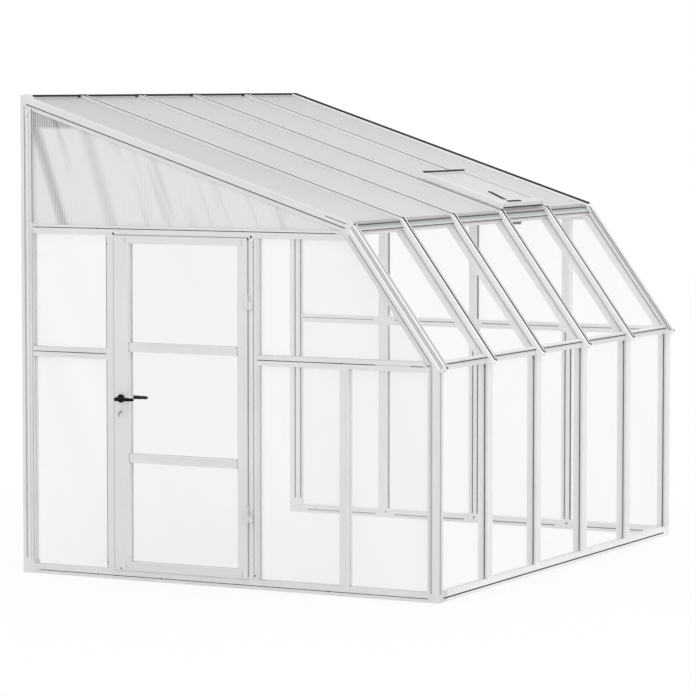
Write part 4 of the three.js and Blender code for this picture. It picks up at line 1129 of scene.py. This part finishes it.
# The door's reveals get the same painted highlight.
door_sides = ((-0.005, 0.0192), (0.0248, 0.0385))
door_reveal_lights = [reveal(window_outs[0], ups, across) for ups in window_ups for across in door_sides]
piece("door_reveal_lights", door_reveal_lights, "painted_highlight", "door")

# %% [markdown]
# The leaf's rails meet its stiles in short grey joints. They lie at the ends of the middle rails, and
# across the leaf's top and bottom members, a little outside the window's sides. Short strips show them,
# and they ride on the door as well.

# %% Joints of the door's rails
rail_spans = [(window_ups[0][1], window_ups[1][0]), (window_ups[1][1], window_ups[2][0])]
joint_lines = [upright(out, *span) for span in rail_spans for out in window_outs]
stile_ends, stile_joint_outs = ((1.868, line_head), (line_foot, 0.098)), (0.678, 1.414)
joint_lines += [upright(out, *span) for span in stile_ends for out in stile_joint_outs]
gable_lines("door_rail_joints", joint_lines, 0.0036, "pale_line", at_across=leaf_face, body="door")

# %% [markdown]
# ## Screws
#
# A screw head is a low dome, a few rings of a half circle turned about its axis: radius r * cos(a),
# height h * sin(a), with a from 0 to nearly a quarter turn. A ball could be cut for it, but here rings
# and segments come from one grid, so a row of screws is one mesh.

# %% Screw heads
def dome(centre, normal, radius, tall, rings=4, around=14):
    """A low dome on a face: radius * cos(a) wide and tall * sin(a) high, with a flat top and underside."""
    nearly_up, nearly_quarter = 0.9, math.pi / 2 * 0.92
    helper = UPWARDS if abs(normal[2]) < nearly_up else ACROSS
    side = np.cross(helper, normal)
    side /= np.linalg.norm(side)
    other = np.cross(normal, side)
    rise = np.linspace(0, nearly_quarter, rings)[:, None, None]
    turn = np.linspace(0, 2 * math.pi, around, endpoint=False)[None, :, None]
    ring = np.cos(turn) * side + np.sin(turn) * other
    points = centre + radius * np.cos(rise) * ring + tall * np.sin(rise) * normal
    quads, lids = tube_faces(rings, around)
    return points.reshape(-1, 3), quads, lids


def gable_screws(name, places, head, material, at_across=0.0, body="house"):
    """Heads of one (radius, height) at (out, up) places, on a face that looks the way the door looks."""
    heads = [dome(spot(at_across, *place), -ACROSS, *head) for place in places]
    piece(name, heads, material, body)


corner_spots = [(0.6, 1.917), (1.468, 1.917), (1.4485, 1.905)]
jamb_spots = [(0.557, 1.862), (1.482, 1.863), (1.49, 0.075), (0.557, 0.09)]
rail_screw_up = 1.945
rail_spots = [(out, rail_screw_up) for out in (0.104, 0.496, 0.637, 1.42)]
mid_spots = [(out, mid_groove_up) for out in (1.56, 2.02)]
base_spots = [(out, base_groove_up) for out in (0.49, 0.9, 1.94)]
small_spots = jamb_spots + rail_spots + mid_spots + base_spots
large_head, small_head, door_head = (0.0065, 0.003), (0.0042, 0.002), (0.0045, 0.002)
gable_screws("gable_corner_screws", corner_spots, large_head, "dark_rubber_and_shadow")
gable_screws("gable_screws", small_spots, small_head, "seal_grey")
joint_inset, joint_lap = 0.004, 0.002
joint_outs = (window_outs[0] + joint_lap, window_outs[1] - joint_lap)
joint_ups = [up for low, high in rail_spans for up in (low + joint_inset, high - joint_inset)]
door_spots = [(0.644, 0.062)] + [(out, up) for up in joint_ups for out in joint_outs]
gable_screws("door_screws", door_spots, door_head, "seal_grey", leaf_face, "door")

# %% [markdown]
# Larger heads sit where the bars meet: on both sides of the knee, at the heads of the front posts, and at
# the slanted bars' tips. The same dome serves, set on the slope of the face it belongs to.

# %% Screws at the knee, the post heads and the tips
roof_up, slant_up = facing(OUT_OF_ROOF), facing(OUT_OF_SLANT)


def screw_row(places, place, normal, head):
    """A screw head of one (radius, height) at each distance across and one (out, up) place."""
    return [dome(spot(x, *place), normal, *head) for x in places]


roof_head, slant_head = (0.011, 0.006), (0.012, 0.006)
cover_screw_head, bolt_head = (0.008, 0.005), (0.007, 0.004)
roof_screw_off, post_screw_off, tip_screw_off, cover_screw_across = 0.006, cap_half + 0.006, 0.012, 0.038
roof_screws = [x + roof_screw_off for x in rib_places]
knee_heads = screw_row(roof_screws, on_roof(knee_along - 0.01, 0.001), roof_up, roof_head)
knee_heads += screw_row(rib_places, on_slant(0.01, -0.001), slant_up, slant_head)
knee_heads += screw_row([cover_screw_across], on_slant(0.012, -0.001), slant_up, cover_screw_head)
piece("knee_screws", knee_heads, "dark_rubber_and_shadow")
post_screws = [x - post_screw_off for x in rib_places]
post_screw_up = 1.216
post_heads = screw_row(post_screws, (pane_face_out, post_screw_up), OUTWARDS, bolt_head)
piece("post_head_screws", post_heads, "dark_rubber_and_shadow")
near_tip, far_tip = 0.03, house_long - 0.02
tip_screws = [x + tip_screw_off for x in rib_places + [near_tip, far_tip]]
tip_heads = screw_row(tip_screws, on_slant(tip_length - 0.01), slant_up, bolt_head)
piece("tip_screws", tip_heads, "seal_grey")

# %% [markdown]
# ## Far frame
#
# Seen through the panes, the far gable's bars read as pale strips with one dark edge: the gasket on the
# side of each post that faces the front. They could be left plain, but these lines are what tells the eye
# that there is a far wall. The far rails carry grooves like the near ones, and a grey line runs in each.
# The third post's lines stop at the middle rail, because the photograph shows none above it.

# %% Lines of the far gable's inner faces
inner_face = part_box("far_gable_posts")[0][0] - near_x
base_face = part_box("base_rail_far")[0][0] - near_x
far_post_outs = [0.7115, 1.3305, 1.9625]
far_mid = (1.215, 1.28)
far_lines = [upright(out, line_foot, far_mid[0]) for out in far_post_outs]
far_lines += [upright(out, far_mid[1], line_head) for out in far_post_outs[:2]]
rear_line_outs, rear_line_foot = (0.0385, 0.0785), 0.09
far_lines += [upright(out, rear_line_foot, line_head) for out in rear_line_outs]
gable_lines("far_post_gaskets", far_lines, wide=0.009, material="dark_rubber_and_shadow", at_across=inner_face)
# Grey lines of painted shade beside two of the posts, below the middle rail.
shade_outs = (1.2965, 1.9255)
shade_lines = [upright(out, line_foot, far_mid[0]) for out in shade_outs]
gable_lines("far_post_shades", shade_lines, wide=0.009, material="grey_rubber_and_shade", at_across=inner_face)
mid_spans = ((0.09, 0.6), (0.75, 1.25), (1.36, 1.88), (2.0, 2.5))
rail_span = (0.09, 1.9)
far_rail_lines = [level(mid_groove_up, *span) for span in mid_spans] + [level(rail_groove_up, *rail_span)]
gable_lines("far_rail_inserts", far_rail_lines, wide=0.005, material="grey_rubber_and_shade", at_across=inner_face)
base_spans = ((0.13, 0.62), (0.75, 1.24), (1.36, 1.86), (1.98, 2.45))
far_base_lines = [level(base_groove_up, *span) for span in base_spans]
gable_lines("far_base_insert", far_base_lines, wide=0.006, material="grey_rubber_and_shade", at_across=base_face)
far_screw_up, rear_screw_out, post_half = 0.035, 0.03, 0.0235
far_spots = [(rear_screw_out, far_screw_up)] + [(out - post_half, far_screw_up) for out in far_post_outs]
gable_screws("far_screws", far_spots, large_head, "dark_rubber_and_shadow", base_face)

# %% [markdown]
# The vent's catch bar rests over a small black keeper, a short rounded pad that hangs under the knee rail
# and peeps out below the header. It could be a scaled cylinder, but carrying an ellipse along a line
# gives the same pad with its place already in its mesh. A thinner ellipse is carried up into the rail as
# its stem.

# %% Vent keeper
keeper_across, keeper_up, stem_out, stem_long = 2.215, 1.926, 2.04, 0.016
pad_outs = (2.003, 2.048)
pad_path = [spot(keeper_across, out, keeper_up) for out in pad_outs]
stem_path = [spot(keeper_across, stem_out, up) for up in (keeper_up, keeper_up + stem_long)]
keeper = [
    swept(pad_path, ACROSS, ellipse(half_wide=0.02, half_tall=0.011, around=12)),
    swept(stem_path, ACROSS, ellipse(half_wide=0.006, half_tall=0.0035, around=10)),
]
piece("vent_keeper", keeper, "dark_rubber_and_shadow")

# %% [markdown]
# ## Roof vent
#
# A black strip of painted shadow lies in the gap at the lid's upper edge by its hinge, and another in the
# dark gap below its lower member. Its near side is painted light with a bright strip, and a painted
# highlight lies on the lid's edge above it. All of it rides on the lid, because a strip left on the house
# would stay behind when the lid opens.

# %% Painted shadows and painted side light of the lid
lid_half = bay_width / 2 - 0.037
lid_centre = bay_width * (vent_bay + 0.5)
lid_foot_along = knee_along - 0.021
lid_head_along = lid_foot_along - 0.578
lid_near, lid_far = lid_centre - lid_half, lid_centre + lid_half
lid_lift = 0.0385
# A black strip of painted shadow in the gap at the lid's hinge.
hinge_shadow_span, hinge_shadow_place = (lid_near + 0.02, lid_far), on_roof(lid_head_along + 0.018, 0.038)
hinge_gap_shadow = across_strip(hinge_shadow_span, hinge_shadow_place, flat(wide=0.015, proud=0.0062), OUT_OF_ROOF)
piece("vent_hinge_gap_shadow", [hinge_gap_shadow], "dark_rubber_and_shadow", "vent_lid")
# A dark strip of painted shadow in the gap below the lid's lower member.
gap_span, gap_place = (lid_near + 0.005, lid_far - 0.005), on_roof(lid_foot_along + 0.001, 0.012)
foot_gap = bar(-0.001, 0.0015, v_from=-0.004, v_to=0.004)
gap_shadow = across_strip(gap_span, gap_place, foot_gap, OUT_OF_ROOF)
piece("vent_lid_gap_shadow", [gap_shadow], "dark_rubber_and_shadow", "vent_lid")
# The lid's near side is painted light with a bright strip.
lid_light_lift = 0.021
lid_light_path = [on_roof(distance, lid_light_lift) for distance in (lid_head_along, lid_foot_along)]
lid_side_light = down_bars([lid_near], lid_light_path, on_side(tall=0.033, proud=0.0008))
piece("vent_lid_side_light", lid_side_light, "painted_highlight", "vent_lid")

# %% [markdown]
# The bow handle is a thin black bar that lies along the lid and turns along its foot. At this distance it
# is finer than the picture's grain. It could be made thicker, but then it would be wrong from close by,
# so a dark line under it stands for the shadow that makes it readable in the photograph.

# %% Bow handle's lines and the lid's painted edge highlight
bow_lift = 0.0335
bow_line = [spot(2.178, *on_roof(1.953, bow_lift)), spot(2.125, *on_roof(2.06, bow_lift))]
bow_line.append(spot(2.118, *on_roof(2.128, bow_lift)))
bow_foot = [spot(2.062, *on_roof(2.13, lid_lift)), spot(2.235, *on_roof(2.131, lid_lift))]
arm = flat(wide=0.026, proud=0.0032)
bow_lines = [line_on(start, end, roof_up, arm) for start, end in zip(bow_line, bow_line[1:])]
bow_lines.append(line_on(*bow_foot, roof_up, flat(wide=0.018, proud=0.003)))
piece("vent_bow_lines", bow_lines, "dark_rubber_and_shadow", "vent_lid")
# A painted highlight along the lid's near edge.
edge_short, edge_off = 0.01, 0.006
edge_ends = (lid_head_along + edge_short, lid_foot_along - edge_short)
edge_path = [on_roof(distance, lid_lift) for distance in edge_ends]
lid_edge_highlight = down_bars([lid_near + edge_off], edge_path, flat(wide=0.01, proud=0.001))
piece("vent_lid_edge_highlight", lid_edge_highlight, "painted_highlight", "vent_lid")

# %% [markdown]
# ## Studio
#
# The photograph's ground and background are pure white. More light would get there too, but it would also
# wash out the white bars. So the floor and the backdrop glow white to the eye and in reflections. To
# everything else the floor is a plain soft grey and the backdrop is the world's soft white light. A small
# share of the floor's look is still its lit surface, so the greenhouse keeps a faint soft shadow and stands
# on the ground.

# %% Floor
floor_size, floor_drop = 60, 0.004
lit_grey, shadow_grey, shadow_share = 0.8, 0.925, 0.15
white = (1, 1, 1, 1)


def white_where_seen(tree, output, seen, lit):
    """One look for the eye, straight or in gloss and glass, and another for the light that it throws."""
    rays = add(tree, "ShaderNodeLightPath").outputs
    mirrored = math_node(tree, "MAXIMUM", rays["Is Glossy Ray"], rays["Is Transmission Ray"])
    mix = add(tree, "ShaderNodeMixShader")
    tree.links.new(math_node(tree, "MAXIMUM", rays["Is Camera Ray"], mirrored), mix.inputs[0])
    tree.links.new(lit, mix.inputs[1])
    tree.links.new(seen, mix.inputs[2])
    tree.links.new(mix.outputs[0], output)


bpy.ops.mesh.primitive_plane_add(size=floor_size, location=(0, 0, -floor_drop))
floor = bpy.context.object
floor.name = "floor"
floor_tree, floor_shader = new_material("floor", (lit_grey, lit_grey, lit_grey), roughness=0.9)
floor_glow = add(floor_tree, "ShaderNodeEmission", Color=white, Strength=1.0)
floor_shade = add(floor_tree, "ShaderNodeBsdfDiffuse", Color=(shadow_grey, shadow_grey, shadow_grey, 1))
floor_look = add(floor_tree, "ShaderNodeMixShader", Fac=shadow_share)
floor_tree.links.new(floor_glow.outputs[0], floor_look.inputs[1])
floor_tree.links.new(floor_shade.outputs[0], floor_look.inputs[2])
floor_surface = floor_tree.nodes["Material Output"].inputs["Surface"]
white_where_seen(floor_tree, floor_surface, floor_look.outputs[0], floor_shader.outputs[0])
floor.data.materials.append(materials["floor"])
print("floor is", floor_size, "m wide, and its look keeps", shadow_share, "of its shadow")

# %% [markdown]
# The world lights everything softly from all sides, as a white studio does. Many lamps could do that too,
# but they would leave many small shadows. One large lamp, high before the front and a little to the side,
# makes the front a shade brighter than the gable.

# %% World and lamp
world_strength, lamp_power, lamp_size = 1.08, 900, 4.0
world = bpy.data.worlds.new("studio")
bpy.context.scene.world = world
world.use_nodes = True
world_tree = world.node_tree
soft = world_tree.nodes["Background"]
soft.inputs["Color"].default_value = white
soft.inputs["Strength"].default_value = world_strength
backdrop = add(world_tree, "ShaderNodeBackground", Color=white, Strength=1.0)
world_surface = world_tree.nodes["World Output"].inputs["Surface"]
white_where_seen(world_tree, world_surface, backdrop.outputs[0], soft.outputs[0])


def area_lamp(name, place, target, size, power):
    """A square soft box that faces its target."""
    data = bpy.data.lights.new(name, "AREA")
    data.size = size
    data.energy = power
    lamp = bpy.data.objects.new(name, data)
    lamp.location = place
    direction = np.array(target) - np.array(place)
    yaw = math.atan2(direction[0], -direction[1])
    tilt = math.acos(-direction[2] / np.linalg.norm(direction))
    lamp.rotation_euler = (tilt, 0, yaw)
    bpy.context.collection.objects.link(lamp)


area_lamp("key", place=(1, -10, 8), target=(0, 0, 1.4), size=lamp_size, power=lamp_power)
bpy.context.scene.view_settings.view_transform = "Standard"
print("world strength", world_strength, "and one lamp of", lamp_power, "W")
